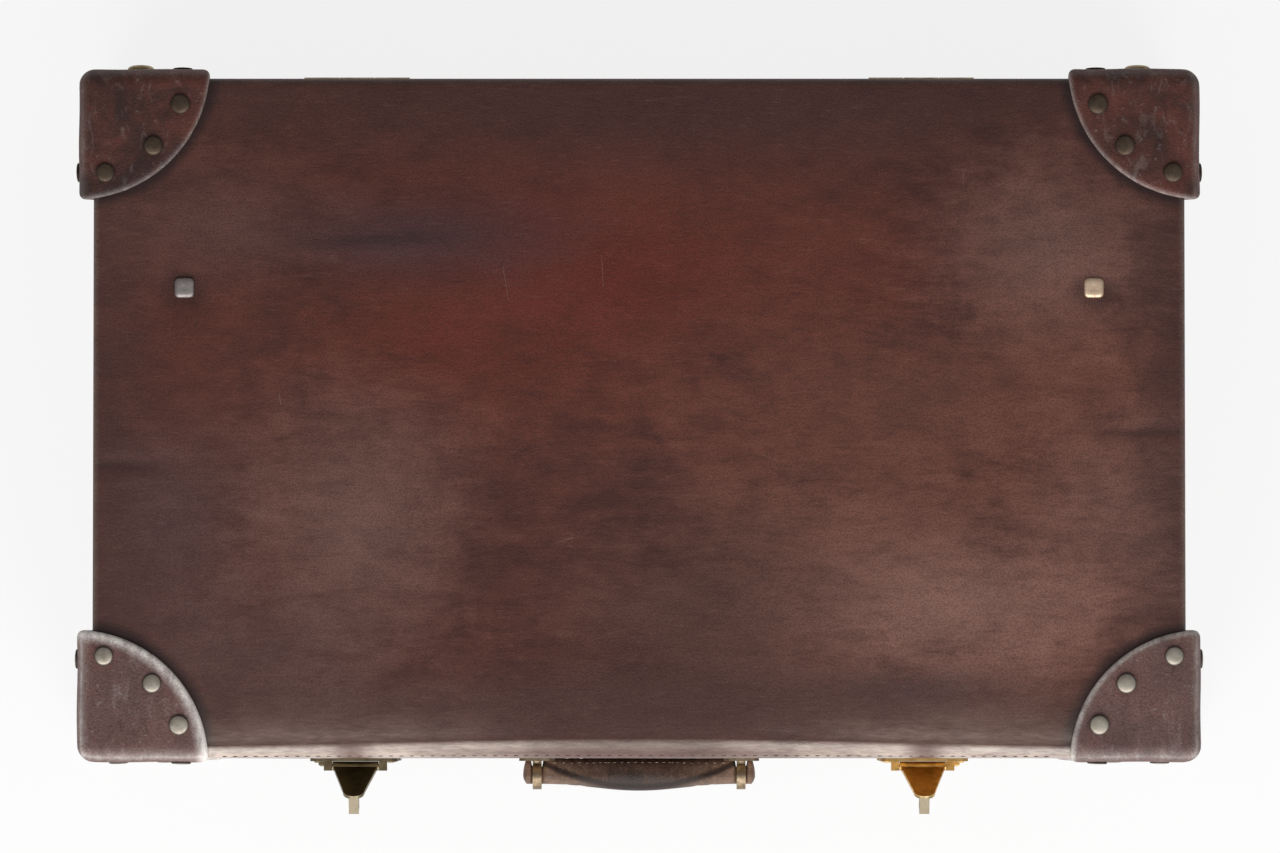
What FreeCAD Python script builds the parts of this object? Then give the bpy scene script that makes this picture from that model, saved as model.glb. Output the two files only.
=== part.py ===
"""Leather dressing case: a hinged lid over a fitted base, with capped corners, hasp locks and a tray.

Frame in millimetres: X runs across the front, Y from the front to the hinges at the back, Z is up.
The origin is under the middle of the whole outline, on the surface that the case lies on.
"""
import FreeCAD, Part
import math
import os

os.makedirs("parts", exist_ok=True)

Vec = FreeCAD.Vector
X_AXIS, Y_AXIS, Z_AXIS = Vec(1, 0, 0), Vec(0, 1, 0), Vec(0, 0, 1)
SIDES = {"left": -1, "right": 1}
ALIGNED = 0.9  # cosine above which a direction counts as along an axis

# The case, outside over its leather
CASE_WIDTH = 610.0
CASE_DEPTH = 380.0
BASE_HEIGHT = 101.0
LID_HEIGHT = 60.0
SEAM = 0.3  # between the two rims
EDGE_ROUND = 4.5
LID_FRONT_ROUND = 9.0  # the lid's front edge is worn rounder

# What the walls are made of, from outside to inside
LEATHER = 2.0
WALL_BOARD = 8.0
PANEL_BOARD = 6.0
LINING = 1.0

# Rebated lip that stands out of the base into the lid
LIP = 4.0
LIP_SEAT = 25.0
LIP_RISE = 9.0
LIP_CLEAR = 1.2

# Moulded leather caps on the eight corners
CAP_REACH = 74.0
CAP_FACE = 4.0  # thickness on the top or bottom face
CAP_SIDE = 9.0  # thickness on the left and right walls
CAP_BACK = 6.0  # thickness on the back wall
CAP_FRONT = 2.5  # thickness on the front wall
CAP_ROUND = 10.0
CAP_RIM_GAP = 5.0  # the caps end this far from the rim
RIVET_CIRCLE = 61.5
RIVET_ANGLES = (20.0, 46.0, 75.0)
LID_WALL_RIVETS = ((58.0, 18.0), (21.0, 47.0))  # along and down from the lid cap's corner
RIVET_HEAD = 5.5
RIVET_RISE = 2.0
HEAD_SIDES = 8  # facets of a fastener's head
HEAD_CROWN = 55.0  # degrees of arc from a head's foot to its flat top

# Brass feet on the rear caps, on which the case stands upright
FOOT_X = 280.0
LID_FOOT_RISE = 38.0  # above the lid's rim
BASE_FOOT_RISE = 22.0  # above the surface that the case lies on
FOOT_RADIUS = 7.5
FOOT_HEIGHT = 3.0
FOOT_STEPS = 2

# Butt hinges on the back
HINGE_X = 160.0
HINGE_LENGTH = 60.0
HINGE_LEAF = 1.6
HINGE_HEIGHT = 24.0
HINGE_KNUCKLE = 2.6
HINGE_KNUCKLES = 3
HINGE_PIN = 1.3
HINGE_SCREW = 2.4
HINGE_SCREW_PITCH = 20.0
HINGE_SCREW_REACH = 14.0  # from the hinge's axis
HINGE_SCREW_RISE = 0.4

# Hasps on the lid's front
LOCK_X = 160.0
PLATE = 1.8
PLATE_WIDTH = 49.0
PLATE_CORNER = 3.0  # clipped corners
HASP_PLATE_HEIGHT = 30.0
PLATE_FROM_RIM = 4.0
HASP_AXIS_RISE = 8.0  # of the hasp's pin above the lid's rim
HASP_KNUCKLE = 2.6
HASP_PIN = 1.2
HASP_LUG = 4.5
HASP_LEAF = 2.0
HASP_WIDTH = 26.0
HASP_END = 6.0  # half width of its rounded end
HASP_REACH = 29.0  # from the pin to the staple
HASP_OPEN = 150.0  # degrees from locked to the pose in which it stands open
STAPLE_WIDTH = 5.6
STAPLE_HEIGHT = 8.0
STAPLE_EYE = 4.4
STAPLE_TIP = 1.9  # metal beyond the eye

# Locks in the base's front
LOCK_PLATE_HEIGHT = 34.0
LOCK_CASE_HEIGHT = 20.0
LOCK_CASE_WALL = 1.0
LOCK_END_ROOM = 1.5  # between the drawn-back bolt and the case's wall
BOLT = 3.6
BOLT_IN = 3.0  # from the front of the case to the bolt's middle
BOLT_BACK = 1.7  # from the drawn-back bolt to the staple
BOLT_THROW = 9.0
BOLT_GUIDE = 2.0
BOLT_ROOM = 1.0  # on each side of the guide
BOLT_TAIL = 1.0  # behind the stem
STEM = 3.0
BUTTON_WIDTH = 6.0
BUTTON_HEIGHT = 9.0
BUTTON_DEPTH = 3.0
BUTTON_EDGE = 1.0
PLATE_RIVET = 2.2
PLATE_RIVET_RISE = 0.9
PLATE_RIVET_INSET = 4.0

# Handle on the base's front
HANDLE_BELOW_RIM = 27.0
HANDLE_STAND_OFF = 10.3
HANDLE_RING_X = 58.0
HANDLE_RING = 8.0
HANDLE_RING_WIDTH = 5.0
HANDLE_JOURNAL = 5.0
HANDLE_PAST_RING = 5.5
HANDLE_DROP = 28.0
HANDLE_MIDDLE_THICK = 9.3  # half thickness of the padded middle, square to the wall
HANDLE_MIDDLE_TALL = 11.0
HANDLE_STRAIGHT = 24.0  # half length of the straight middle
HANDLE_ARM_STEPS = 3
BRACKET = 2.0
BRACKET_WIDTH = 20.0
BRACKET_HEIGHT = 36.0
BRACKET_NECK = 9.0

# Strap inside the lid and the two studs that hold it
STUD_X = 254.0
STUD_Y = 72.5  # behind the middle of the case
STUD_HEAD = 5.0
STUD_RISE = 1.8
STUD_SHANK = 3.0  # square
STUD_WASHER = 9.0  # square
STUD_WASHER_DEPTH = 1.2
STRAP_WIDTH = 28.0
STRAP = 2.0
STRAP_END = 14.0  # beyond the stud

# Lift-out tray
TRAY_BELOW_RIM = 5.0
TRAY_HEIGHT = 38.0
TRAY_FLOOR = 4.0
TRAY_WALL = 5.0
TRAY_CLEAR = 1.5
TRAY_DIVIDER = 4.0
TRAY_DIVIDER_DROP = 4.0
TRAY_FRONT_ROW = 120.0
TRAY_FRONT_CELLS = 2
TRAY_BACK_CELLS = 5
TAB_WIDTH = 26.0
TAB = 2.0
TAB_RISE = 12.0
TAB_TAIL = 16.0
LEDGE_WIDTH = 10.0
LEDGE_HEIGHT = 10.0

# Clearances
RUN_GAP = 0.3  # between pieces that pass each other
PIN_GAP = 0.05  # round a pin, a shank or a bolt
SLOT_GAP = 0.5  # round what passes through a slot

# Heights of the two halves
BASE_END = CAP_FACE
BASE_RIM = BASE_END + BASE_HEIGHT
LID_RIM = BASE_RIM + SEAM
LID_END = LID_RIM + LID_HEIGHT
HINGE_Z = BASE_RIM + SEAM / 2

# The hasp's pin, seen from the front face, and how far the open hasp stands out of it
HASP_OUT = PLATE + RUN_GAP + HASP_KNUCKLE
STAPLE_END = HASP_OUT + BOLT_IN + STAPLE_EYE / 2 + STAPLE_TIP
STAPLE_LOW = HASP_REACH + STAPLE_HEIGHT / 2
OPEN_RAD = math.radians(HASP_OPEN)
HASP_STANDS_OUT = STAPLE_LOW * math.sin(OPEN_RAD) - STAPLE_END * math.cos(OPEN_RAD)

# The case's middle lies so that the origin is under the middle of the whole outline
FRONT_PARTS = HASP_OUT + HASP_STANDS_OUT
BACK_PARTS = CAP_BACK + FOOT_HEIGHT
CASE_Y = (FRONT_PARTS - BACK_PARTS) / 2
FRONT = CASE_Y - CASE_DEPTH / 2
BACK = CASE_Y + CASE_DEPTH / 2
HINGE_Y = BACK + RUN_GAP + HINGE_KNUCKLE
HASP_Y = FRONT - HASP_OUT
HASP_Z = LID_RIM + HASP_AXIS_RISE
STAPLE_Z = HASP_Z - HASP_REACH
BOLT_Y = FRONT + BOLT_IN
HANDLE_Y = FRONT - HANDLE_STAND_OFF
HANDLE_Z = BASE_RIM - HANDLE_BELOW_RIM

# The bolt drawn back, along X from the staple's middle, and the case that it fits in
BOLT_TIP = -STAPLE_WIDTH / 2 - BOLT_BACK
GUIDE_X = BOLT_TIP - BOLT_ROOM - BOLT_GUIDE / 2
STEM_X = GUIDE_X - BOLT_GUIDE / 2 - BOLT_ROOM - BOLT_THROW - STEM / 2
BOLT_END = STEM_X - STEM / 2 - BOLT_TAIL
LOCK_CASE_WIDTH = 2 * (LOCK_END_ROOM + LOCK_CASE_WALL - BOLT_END)
LOCK_CASE_DEPTH = LEATHER + WALL_BOARD

# Half sizes of the space between the boards, inside the lining and inside the lip
BOARD_X = CASE_WIDTH / 2 - LEATHER - WALL_BOARD
BOARD_Y = CASE_DEPTH / 2 - LEATHER - WALL_BOARD
ROOM_X = BOARD_X - LINING
ROOM_Y = BOARD_Y - LINING
TRAY_X = ROOM_X - LIP - TRAY_CLEAR
TRAY_Y = ROOM_Y - LIP - TRAY_CLEAR
TRAY_TOP = BASE_RIM - TRAY_BELOW_RIM
TRAY_LOW = TRAY_TOP - TRAY_HEIGHT
LID_CEILING = LID_END - LEATHER - PANEL_BOARD - LINING


def save(name, *solids):
    """Write one node: a single solid, or a group of separate ones."""
    shape = solids[0] if len(solids) == 1 else Part.makeCompound(list(solids))
    shape.exportStep(f"parts/{name}.step")


def box(x_span, y_span, z_span):
    """A box between the two values of each span, whichever way round they are."""
    low = Vec(min(x_span), min(y_span), min(z_span))
    high = Vec(max(x_span), max(y_span), max(z_span))
    size = high - low
    return Part.makeBox(size.x, size.y, size.z, low)


def about(middle, width):
    """The span of a given width about a middle."""
    return (middle - width / 2, middle + width / 2)


def rod(centre, axis, radius, length):
    """A cylinder along an axis, centred on a point."""
    return Part.makeCylinder(radius, length, centre - axis * (length / 2), axis)


def fuse(first, *others):
    return first.multiFuse(list(others)).removeSplitter()


def mirrored_x(shape):
    return shape.mirror(Vec(0, 0, 0), X_AXIS)


def upward(rim, end):
    """1 for the lid, whose closed end is above its rim, and -1 for the base."""
    return 1 if end > rim else -1


def runs_along(edge, axis):
    return abs(edge.tangentAt(edge.FirstParameter).dot(axis)) > ALIGNED


def half_box(width, y_span, rim, end):
    """A plain box of a half's height, and its edges round the closed end."""
    body = box(about(0, width), y_span, (rim, end))
    middle = (rim + end) / 2
    end_edges = [e for e in body.Edges if all((v.Z - middle) * (end - middle) > 0 for v in e.Vertexes)]
    return body, end_edges


def is_lid_front(edge, rim, end):
    """True for the lid's front top edge."""
    return upward(rim, end) > 0 and runs_along(edge, X_AXIS) and edge.CenterOfMass.y < CASE_Y


def leather_outside(rim, end):
    """The outside of a half, whose rounded edges meet in mitres under the caps."""
    body, end_edges = half_box(CASE_WIDTH, (FRONT, BACK), rim, end)
    outside = body.makeFillet(EDGE_ROUND, [e for e in body.Edges if runs_along(e, Z_AXIS)])
    for edge in end_edges:
        radius = LID_FRONT_ROUND if is_lid_front(edge, rim, end) else EDGE_ROUND
        outside = outside.common(body.makeFillet(radius, [edge]))
    return outside


def board_space(rim, end):
    """The space inside the leather, which the boards fill at its walls."""
    y_span = (FRONT + LEATHER, BACK - LEATHER)
    body, end_edges = half_box(CASE_WIDTH - 2 * LEATHER, y_span, rim, end - upward(rim, end) * LEATHER)
    worn = [e for e in end_edges if is_lid_front(e, rim, end)]
    return body.makeFillet(LID_FRONT_ROUND - LEATHER, worn) if worn else body


def leather_skin(rim, end):
    return leather_outside(rim, end).cut(board_space(rim, end))


def wall_boards(rim, end):
    """Front and back boards run the whole width, the side boards stand between them, the panel inside."""
    space = board_space(rim, end)
    across = about(0, CASE_WIDTH)
    between = about(CASE_Y, 2 * BOARD_Y)
    front = space.common(box(across, (FRONT, CASE_Y - BOARD_Y), (rim, end)))
    back = space.common(box(across, (CASE_Y + BOARD_Y, BACK), (rim, end)))
    left = space.common(box((-CASE_WIDTH / 2, -BOARD_X), between, (rim, end)))
    right = mirrored_x(left)
    outer_face = end - upward(rim, end) * LEATHER
    inner_face = outer_face - upward(rim, end) * PANEL_BOARD
    panel = box(about(0, 2 * BOARD_X), between, (outer_face, inner_face))
    return {"front": front, "back": back, "left": left, "right": right, "panel": panel}


def lining_skin(rim, end):
    """Cloth lining on the inner faces of the boards, open at the rim."""
    up = upward(rim, end)
    back_face = end - up * (LEATHER + PANEL_BOARD)
    outside = box(about(0, 2 * BOARD_X), about(CASE_Y, 2 * BOARD_Y), (rim, back_face))
    inside = box(about(0, 2 * ROOM_X), about(CASE_Y, 2 * ROOM_Y), (rim, back_face - up * LINING))
    return outside.cut(inside)


def frame_strips(half_x, half_y, thick, z_span):
    """Four strips round a rectangle: front and back over the whole width, the sides between them."""
    across = about(0, 2 * half_x)
    between = about(CASE_Y, 2 * (half_y - thick))
    front = box(across, (CASE_Y - half_y, CASE_Y - half_y + thick), z_span)
    back = box(across, (CASE_Y + half_y - thick, CASE_Y + half_y), z_span)
    left = box((-half_x, -half_x + thick), between, z_span)
    return [front, back, left, mirrored_x(left)]


def base_lip():
    """The lip's foot lies on the lining; above the rim it steps back to let the lid pass."""
    feet = frame_strips(ROOM_X, ROOM_Y, LIP, (BASE_RIM - LIP_SEAT, BASE_RIM))
    rise = (BASE_RIM, BASE_RIM + LIP_RISE)
    tops = frame_strips(ROOM_X - LIP_CLEAR, ROOM_Y - LIP_CLEAR, LIP - LIP_CLEAR, rise)
    return [fuse(foot, top) for foot, top in zip(feet, tops)]


def ring_of_points(centre, outward, radius):
    """Points evenly round a centre, in a plane square to a direction."""
    across = Y_AXIS if abs(outward.x) > ALIGNED else X_AXIS
    beside = outward.cross(across)
    turns = [2 * math.pi * i / HEAD_SIDES for i in range(HEAD_SIDES)]
    return [centre + (across * math.cos(t) + beside * math.sin(t)) * radius for t in turns]


def flat_face(points):
    return Part.Face(Part.makePolygon(points + points[:1]))


def domed_head(seat, outward, radius, rise, steps=1):
    """A fastener's domed head on its seat, from rings that follow an arc up to a flat top."""
    arc = [math.radians(HEAD_CROWN) * i / steps for i in range(steps + 1)]
    lift = rise / math.sin(arc[-1])
    rings = [ring_of_points(seat + outward * lift * math.sin(a), outward, radius * math.cos(a)) for a in arc]
    faces = [flat_face(rings[0]), flat_face(rings[-1])]
    for low, high in zip(rings, rings[1:]):
        faces += [flat_face([low[i - 1], low[i], high[i], high[i - 1]]) for i in range(HEAD_SIDES)]
    return Part.makeSolid(Part.makeShell(faces))


def cap_corner(side_x, side_y, end, up):
    """The outermost corner of a cap, before its edges are rounded."""
    y = BACK + CAP_BACK if side_y > 0 else FRONT - CAP_FRONT
    return Vec(side_x * (CASE_WIDTH / 2 + CAP_SIDE), y, end + up * CAP_FACE)


def cap_rivet_seats(side_x, side_y, rim, end):
    """Where one cap's rivets sit: on its end face, its front or back wall and its side wall."""
    up = upward(rim, end)
    corner = cap_corner(side_x, side_y, end, up)
    turns = [math.radians(angle) for angle in RIVET_ANGLES]
    on_circle = [(RIVET_CIRCLE * math.cos(turn), RIVET_CIRCLE * math.sin(turn)) for turn in turns]
    on_wall = LID_WALL_RIVETS if up > 0 else on_circle
    seats = [(corner + Vec(-side_x * a, -side_y * b, 0), Z_AXIS * up) for a, b in on_circle]
    seats += [(corner + Vec(-side_x * a, 0, -up * b), Y_AXIS * side_y) for a, b in on_wall]
    seats += [(corner + Vec(0, -side_y * a, -up * b), X_AXIS * side_x) for a, b in on_wall]
    return seats


def corner_cap(side_x, side_y, rim, end):
    """A moulded cap: a thicker, rounded skin, cut to a quarter circle on each of its three faces."""
    up = upward(rim, end)
    y_span = (FRONT - CAP_FRONT, BACK + CAP_BACK)
    body, end_edges = half_box(CASE_WIDTH + 2 * CAP_SIDE, y_span, rim + up * CAP_RIM_GAP, end + up * CAP_FACE)
    upright = [e for e in body.Edges if runs_along(e, Z_AXIS)]
    thick = body.makeFillet(CAP_ROUND, end_edges + upright)
    cap = thick.cut(leather_outside(rim, end))
    for axis in (X_AXIS, Y_AXIS, Z_AXIS):
        cap = cap.common(rod(cap_corner(side_x, side_y, end, up), axis, CAP_REACH, 2 * CAP_REACH))
    return cap


def cap_rivets(side_x, side_y, rim, end):
    """The heads on one cap; none under the base, which lies on the flat of its caps."""
    seats = cap_rivet_seats(side_x, side_y, rim, end)
    return [domed_head(seat, out, RIVET_HEAD, RIVET_RISE) for seat, out in seats if out.z >= 0]


def foot(side_x, height):
    """A brass foot on a rear cap."""
    seat = Vec(side_x * FOOT_X, BACK + CAP_BACK, height)
    return domed_head(seat, Y_AXIS, FOOT_RADIUS, FOOT_HEIGHT, FOOT_STEPS)


def hinge_knuckle_spans(middle, for_base):
    """Spans along X of one leaf's knuckles; the base leaf has the first, third and so on."""
    pitch = HINGE_LENGTH / HINGE_KNUCKLES
    start = middle - HINGE_LENGTH / 2
    first = 0 if for_base else 1
    starts = [start + pitch * i for i in range(first, HINGE_KNUCKLES, 2)]
    return [(a + RUN_GAP / 2, a + pitch - RUN_GAP / 2) for a in starts]


def hinge_bar(span, radius):
    """A cylinder on the hinge's axis."""
    middle = Vec((span[0] + span[1]) / 2, HINGE_Y, HINGE_Z)
    return rod(middle, X_AXIS, radius, span[1] - span[0])


def hinge_screw_seats(middle, up):
    height = HINGE_Z + up * HINGE_SCREW_REACH
    return [Vec(middle + HINGE_SCREW_PITCH * i, BACK + HINGE_LEAF, height) for i in (-1, 0, 1)]


def hinge_leaf(middle, for_base):
    """A leaf on the back wall with its knuckles, notched where the other leaf's knuckles turn."""
    up = -1 if for_base else 1
    end = HINGE_Z + up * HINGE_HEIGHT
    leaf = box(about(middle, HINGE_LENGTH), (BACK, BACK + HINGE_LEAF), (HINGE_Z + up * SEAM, end))
    for span in hinge_knuckle_spans(middle, for_base):
        root = box(span, (BACK, BACK + HINGE_LEAF), (HINGE_Z, HINGE_Z + up * HINGE_KNUCKLE))
        leaf = fuse(leaf, hinge_bar(span, HINGE_KNUCKLE), root)
    for span in hinge_knuckle_spans(middle, not for_base):
        leaf = leaf.cut(hinge_bar((span[0] - RUN_GAP, span[1] + RUN_GAP), HINGE_KNUCKLE + RUN_GAP))
    return leaf.cut(hinge_bar(about(middle, 2 * HINGE_LENGTH), HINGE_PIN + PIN_GAP))


def hinge_pin(middle):
    return hinge_bar(about(middle, HINGE_LENGTH), HINGE_PIN)


def hinge_screws(middle, up):
    seats = hinge_screw_seats(middle, up)
    return [domed_head(seat, Y_AXIS, HINGE_SCREW, HINGE_SCREW_RISE) for seat in seats]


def front_plate(z_span):
    """A brass plate on the front wall at X = 0, with clipped corners."""
    plate = box(about(0, PLATE_WIDTH), (FRONT - PLATE, FRONT), z_span)
    return plate.makeChamfer(PLATE_CORNER, [e for e in plate.Edges if runs_along(e, Y_AXIS)])


def plate_rivets(z_span):
    """Four heads in a plate's corners."""
    xs = (-PLATE_WIDTH / 2 + PLATE_RIVET_INSET, PLATE_WIDTH / 2 - PLATE_RIVET_INSET)
    zs = (min(z_span) + PLATE_RIVET_INSET, max(z_span) - PLATE_RIVET_INSET)
    seats = [Vec(x, FRONT - PLATE, z) for x in xs for z in zs]
    return [domed_head(seat, -Y_AXIS, PLATE_RIVET, PLATE_RIVET_RISE) for seat in seats]


HASP_PLATE_SPAN = (LID_RIM + PLATE_FROM_RIM, LID_RIM + PLATE_FROM_RIM + HASP_PLATE_HEIGHT)
LOCK_PLATE_SPAN = (BASE_RIM - PLATE_FROM_RIM - LOCK_PLATE_HEIGHT, BASE_RIM - PLATE_FROM_RIM)
HASP_AXIS = Vec(0, HASP_Y, HASP_Z)


def hasp_plate():
    """The plate on the lid with two ears that carry the hasp's pin."""
    plate = front_plate(HASP_PLATE_SPAN)
    for side in SIDES.values():
        x_span = about(side * (HASP_WIDTH / 2 + RUN_GAP + HASP_LUG / 2), HASP_LUG)
        ear = box(x_span, (HASP_Y - HASP_KNUCKLE, FRONT - PLATE), about(HASP_Z, 2 * HASP_KNUCKLE))
        plate = fuse(plate, ear)
    return plate.cut(rod(HASP_AXIS, X_AXIS, HASP_PIN + PIN_GAP, PLATE_WIDTH))


def hasp_pin():
    return rod(HASP_AXIS, X_AXIS, HASP_PIN, HASP_WIDTH + 2 * (RUN_GAP + HASP_LUG))


def bolt_bar(x_span, size):
    """A square bar where the lock's bolt runs."""
    return box(x_span, about(BOLT_Y, size), about(STAPLE_Z, size))


def hasp():
    """A tapered leaf on a rolled knuckle, with a bored staple; turned up to where it stands open."""
    half, end = HASP_WIDTH / 2, HASP_END
    back_y = HASP_Y + HASP_LEAF / 2
    low = HASP_Z - HASP_REACH
    corners = [Vec(-half, back_y, HASP_Z), Vec(half, back_y, HASP_Z), Vec(end, back_y, low)]
    round_end = Part.Arc(corners[2], Vec(0, back_y, low - end), Vec(-end, back_y, low)).toShape()
    sides = [Part.makeLine(corners[0], corners[1]), Part.makeLine(corners[1], corners[2])]
    closing = Part.makeLine(Vec(-end, back_y, low), corners[0])
    outline = Part.Wire(sides + [round_end, closing])
    leaf = Part.Face(outline).extrude(-Y_AXIS * HASP_LEAF)
    knuckle = rod(HASP_AXIS, X_AXIS, HASP_KNUCKLE, HASP_WIDTH)
    staple = box(about(0, STAPLE_WIDTH), (HASP_Y, HASP_Y + STAPLE_END), about(STAPLE_Z, STAPLE_HEIGHT))
    eye = bolt_bar(about(0, 2 * STAPLE_WIDTH), STAPLE_EYE)
    bore = rod(HASP_AXIS, X_AXIS, HASP_PIN + PIN_GAP, 2 * HASP_WIDTH)
    locked = fuse(leaf, knuckle, staple).cut(eye).cut(bore)
    return locked.rotated(HASP_AXIS, X_AXIS, -HASP_OPEN)


def lock_case_block():
    """The outside of the lock case, which is also the mortise it fills in the front wall."""
    y_span = (FRONT, FRONT + LOCK_CASE_DEPTH)
    return box(about(0, LOCK_CASE_WIDTH), y_span, about(STAPLE_Z, LOCK_CASE_HEIGHT))


def lock_case():
    """An open-fronted box with a guide for the bolt."""
    wide, tall = LOCK_CASE_WIDTH - 2 * LOCK_CASE_WALL, LOCK_CASE_HEIGHT - 2 * LOCK_CASE_WALL
    back_y = FRONT + LOCK_CASE_DEPTH - LOCK_CASE_WALL
    hollow = box(about(0, wide), (FRONT, back_y), about(STAPLE_Z, tall))
    guide = box(about(GUIDE_X, BOLT_GUIDE), (FRONT, back_y), about(STAPLE_Z, 2 * BOLT))
    bore = bolt_bar(about(GUIDE_X, 2 * BOLT_GUIDE), BOLT + 2 * PIN_GAP)
    return fuse(lock_case_block().cut(hollow), guide).cut(bore)


def lock_plate():
    """The plate over the lock, open for the swinging staple and the thumb button's stem."""
    through = (FRONT - PLATE, FRONT)
    lowest = HASP_Z - math.hypot(STAPLE_END, STAPLE_LOW) - SLOT_GAP
    highest = STAPLE_Z + STAPLE_HEIGHT / 2 + SLOT_GAP
    staple_slot = box(about(0, STAPLE_WIDTH + 2 * SLOT_GAP), through, (lowest, highest))
    stem_reach = STEM / 2 + SLOT_GAP
    stem_span = (STEM_X - stem_reach, STEM_X + BOLT_THROW + stem_reach)
    stem_slot = box(stem_span, through, about(STAPLE_Z, 2 * stem_reach))
    return front_plate(LOCK_PLATE_SPAN).cut(staple_slot).cut(stem_slot)


def lock_slide():
    """The bolt with the stem and thumb button that move it, drawn back out of the staple's way."""
    bolt = bolt_bar((BOLT_END, BOLT_TIP), BOLT)
    button_back = FRONT - PLATE - RUN_GAP
    stem = box(about(STEM_X, STEM), (button_back, BOLT_Y), about(STAPLE_Z, STEM))
    button_span = (button_back - BUTTON_DEPTH, button_back)
    button = box(about(STEM_X, BUTTON_WIDTH), button_span, about(STAPLE_Z, BUTTON_HEIGHT))
    front_edges = [e for e in button.Edges if all(v.Y < button_back - RUN_GAP for v in e.Vertexes)]
    return fuse(bolt, stem, button.makeChamfer(BUTTON_EDGE, front_edges))


def handle_section(x, arm_end):
    """One oval of the padded grip, square to its bowed centre line."""
    arm = arm_end - HANDLE_STRAIGHT
    bend = math.pi * min(max(abs(x) - HANDLE_STRAIGHT, 0) / arm, 1)
    drop = HANDLE_DROP * (1 + math.cos(bend)) / 2
    slope = math.copysign(HANDLE_DROP * math.pi / arm * math.sin(bend) / 2, x)
    along = Vec(1, 0, slope).normalize()
    upright = Vec(-along.z, 0, along.x)
    swell = math.cos(math.pi * x / (2 * arm_end)) ** 2
    tall = HANDLE_JOURNAL + (HANDLE_MIDDLE_TALL - HANDLE_JOURNAL) * swell
    thick = HANDLE_JOURNAL + (HANDLE_MIDDLE_THICK - HANDLE_JOURNAL) * swell
    wide, deep = upright * tall, Y_AXIS * thick
    place = FreeCAD.Matrix(
        wide.x, deep.x, along.x, x,
        wide.y, deep.y, along.y, HANDLE_Y,
        wide.z, deep.z, along.z, HANDLE_Z - drop,
    )
    return Part.Wire(Part.makeCircle(1)).transformGeometry(place)


def handle_grip():
    """A padded grip bowed between two round ends, which turn in the rings and reach past them."""
    ring_face = HANDLE_RING_X - HANDLE_RING_WIDTH / 2
    arm_end = ring_face - RUN_GAP
    steps = range(HANDLE_ARM_STEPS + 1)
    arm = [HANDLE_STRAIGHT + (arm_end - HANDLE_STRAIGHT) * i / HANDLE_ARM_STEPS for i in steps]
    stations = [-x for x in reversed(arm)] + [0] + arm
    grip = Part.makeLoft([handle_section(x, arm_end) for x in stations], True, True)
    length = RUN_GAP + HANDLE_RING_WIDTH + HANDLE_PAST_RING
    left_end = Part.makeCylinder(HANDLE_JOURNAL, length, Vec(-arm_end, HANDLE_Y, HANDLE_Z), -X_AXIS)
    return grip.multiFuse([left_end, mirrored_x(left_end)])


def bracket_rivets(side):
    """One head above the ring and one below it."""
    reach = BRACKET_HEIGHT / 2 - PLATE_RIVET_INSET
    seats = [Vec(side * HANDLE_RING_X, FRONT - BRACKET, HANDLE_Z + i * reach) for i in (-1, 1)]
    return [domed_head(seat, -Y_AXIS, PLATE_RIVET, PLATE_RIVET_RISE) for seat in seats]


def handle_bracket(side):
    """A plate on the front wall with the ring that one end of the handle turns in."""
    centre = Vec(side * HANDLE_RING_X, HANDLE_Y, HANDLE_Z)
    plate = box(about(centre.x, BRACKET_WIDTH), (FRONT - BRACKET, FRONT), about(HANDLE_Z, BRACKET_HEIGHT))
    plate = plate.makeChamfer(PLATE_CORNER, [e for e in plate.Edges if runs_along(e, Y_AXIS)])
    ring = rod(centre, X_AXIS, HANDLE_RING, HANDLE_RING_WIDTH)
    neck_span = about(HANDLE_Z, BRACKET_NECK)
    neck = box(about(centre.x, HANDLE_RING_WIDTH), (HANDLE_Y, FRONT - BRACKET), neck_span)
    bore = rod(centre, X_AXIS, HANDLE_JOURNAL + RUN_GAP, 2 * HANDLE_RING_WIDTH)
    return fuse(plate, ring, neck).cut(bore)


STUD_DEPTH = LEATHER + PANEL_BOARD + LINING + STRAP
STUD_SEATS = [Vec(side * STUD_X, CASE_Y + STUD_Y, LID_END) for side in SIDES.values()]


def stud_bar(seat, size, z_span):
    """A square bar on a stud's line."""
    return box(about(seat.x, size), about(seat.y, size), z_span)


def lid_stud(seat):
    """A through rivet: a domed head on the lid, a square shank and a washer under the strap."""
    head = domed_head(seat, Z_AXIS, STUD_HEAD, STUD_RISE)
    strap_face = seat.z - STUD_DEPTH
    shank = stud_bar(seat, STUD_SHANK, (strap_face, seat.z))
    washer = stud_bar(seat, STUD_WASHER, (strap_face - STUD_WASHER_DEPTH, strap_face))
    return fuse(head, shank, washer)


def drilled_for_studs(shape):
    for seat in STUD_SEATS:
        shape = shape.cut(stud_bar(seat, STUD_SHANK + 2 * PIN_GAP, (seat.z - STUD_DEPTH, seat.z)))
    return shape


def lid_strap():
    length = 2 * (STUD_X + STRAP_END)
    strap = box(about(0, length), about(CASE_Y + STUD_Y, STRAP_WIDTH), (LID_CEILING - STRAP, LID_CEILING))
    return drilled_for_studs(strap)


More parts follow.
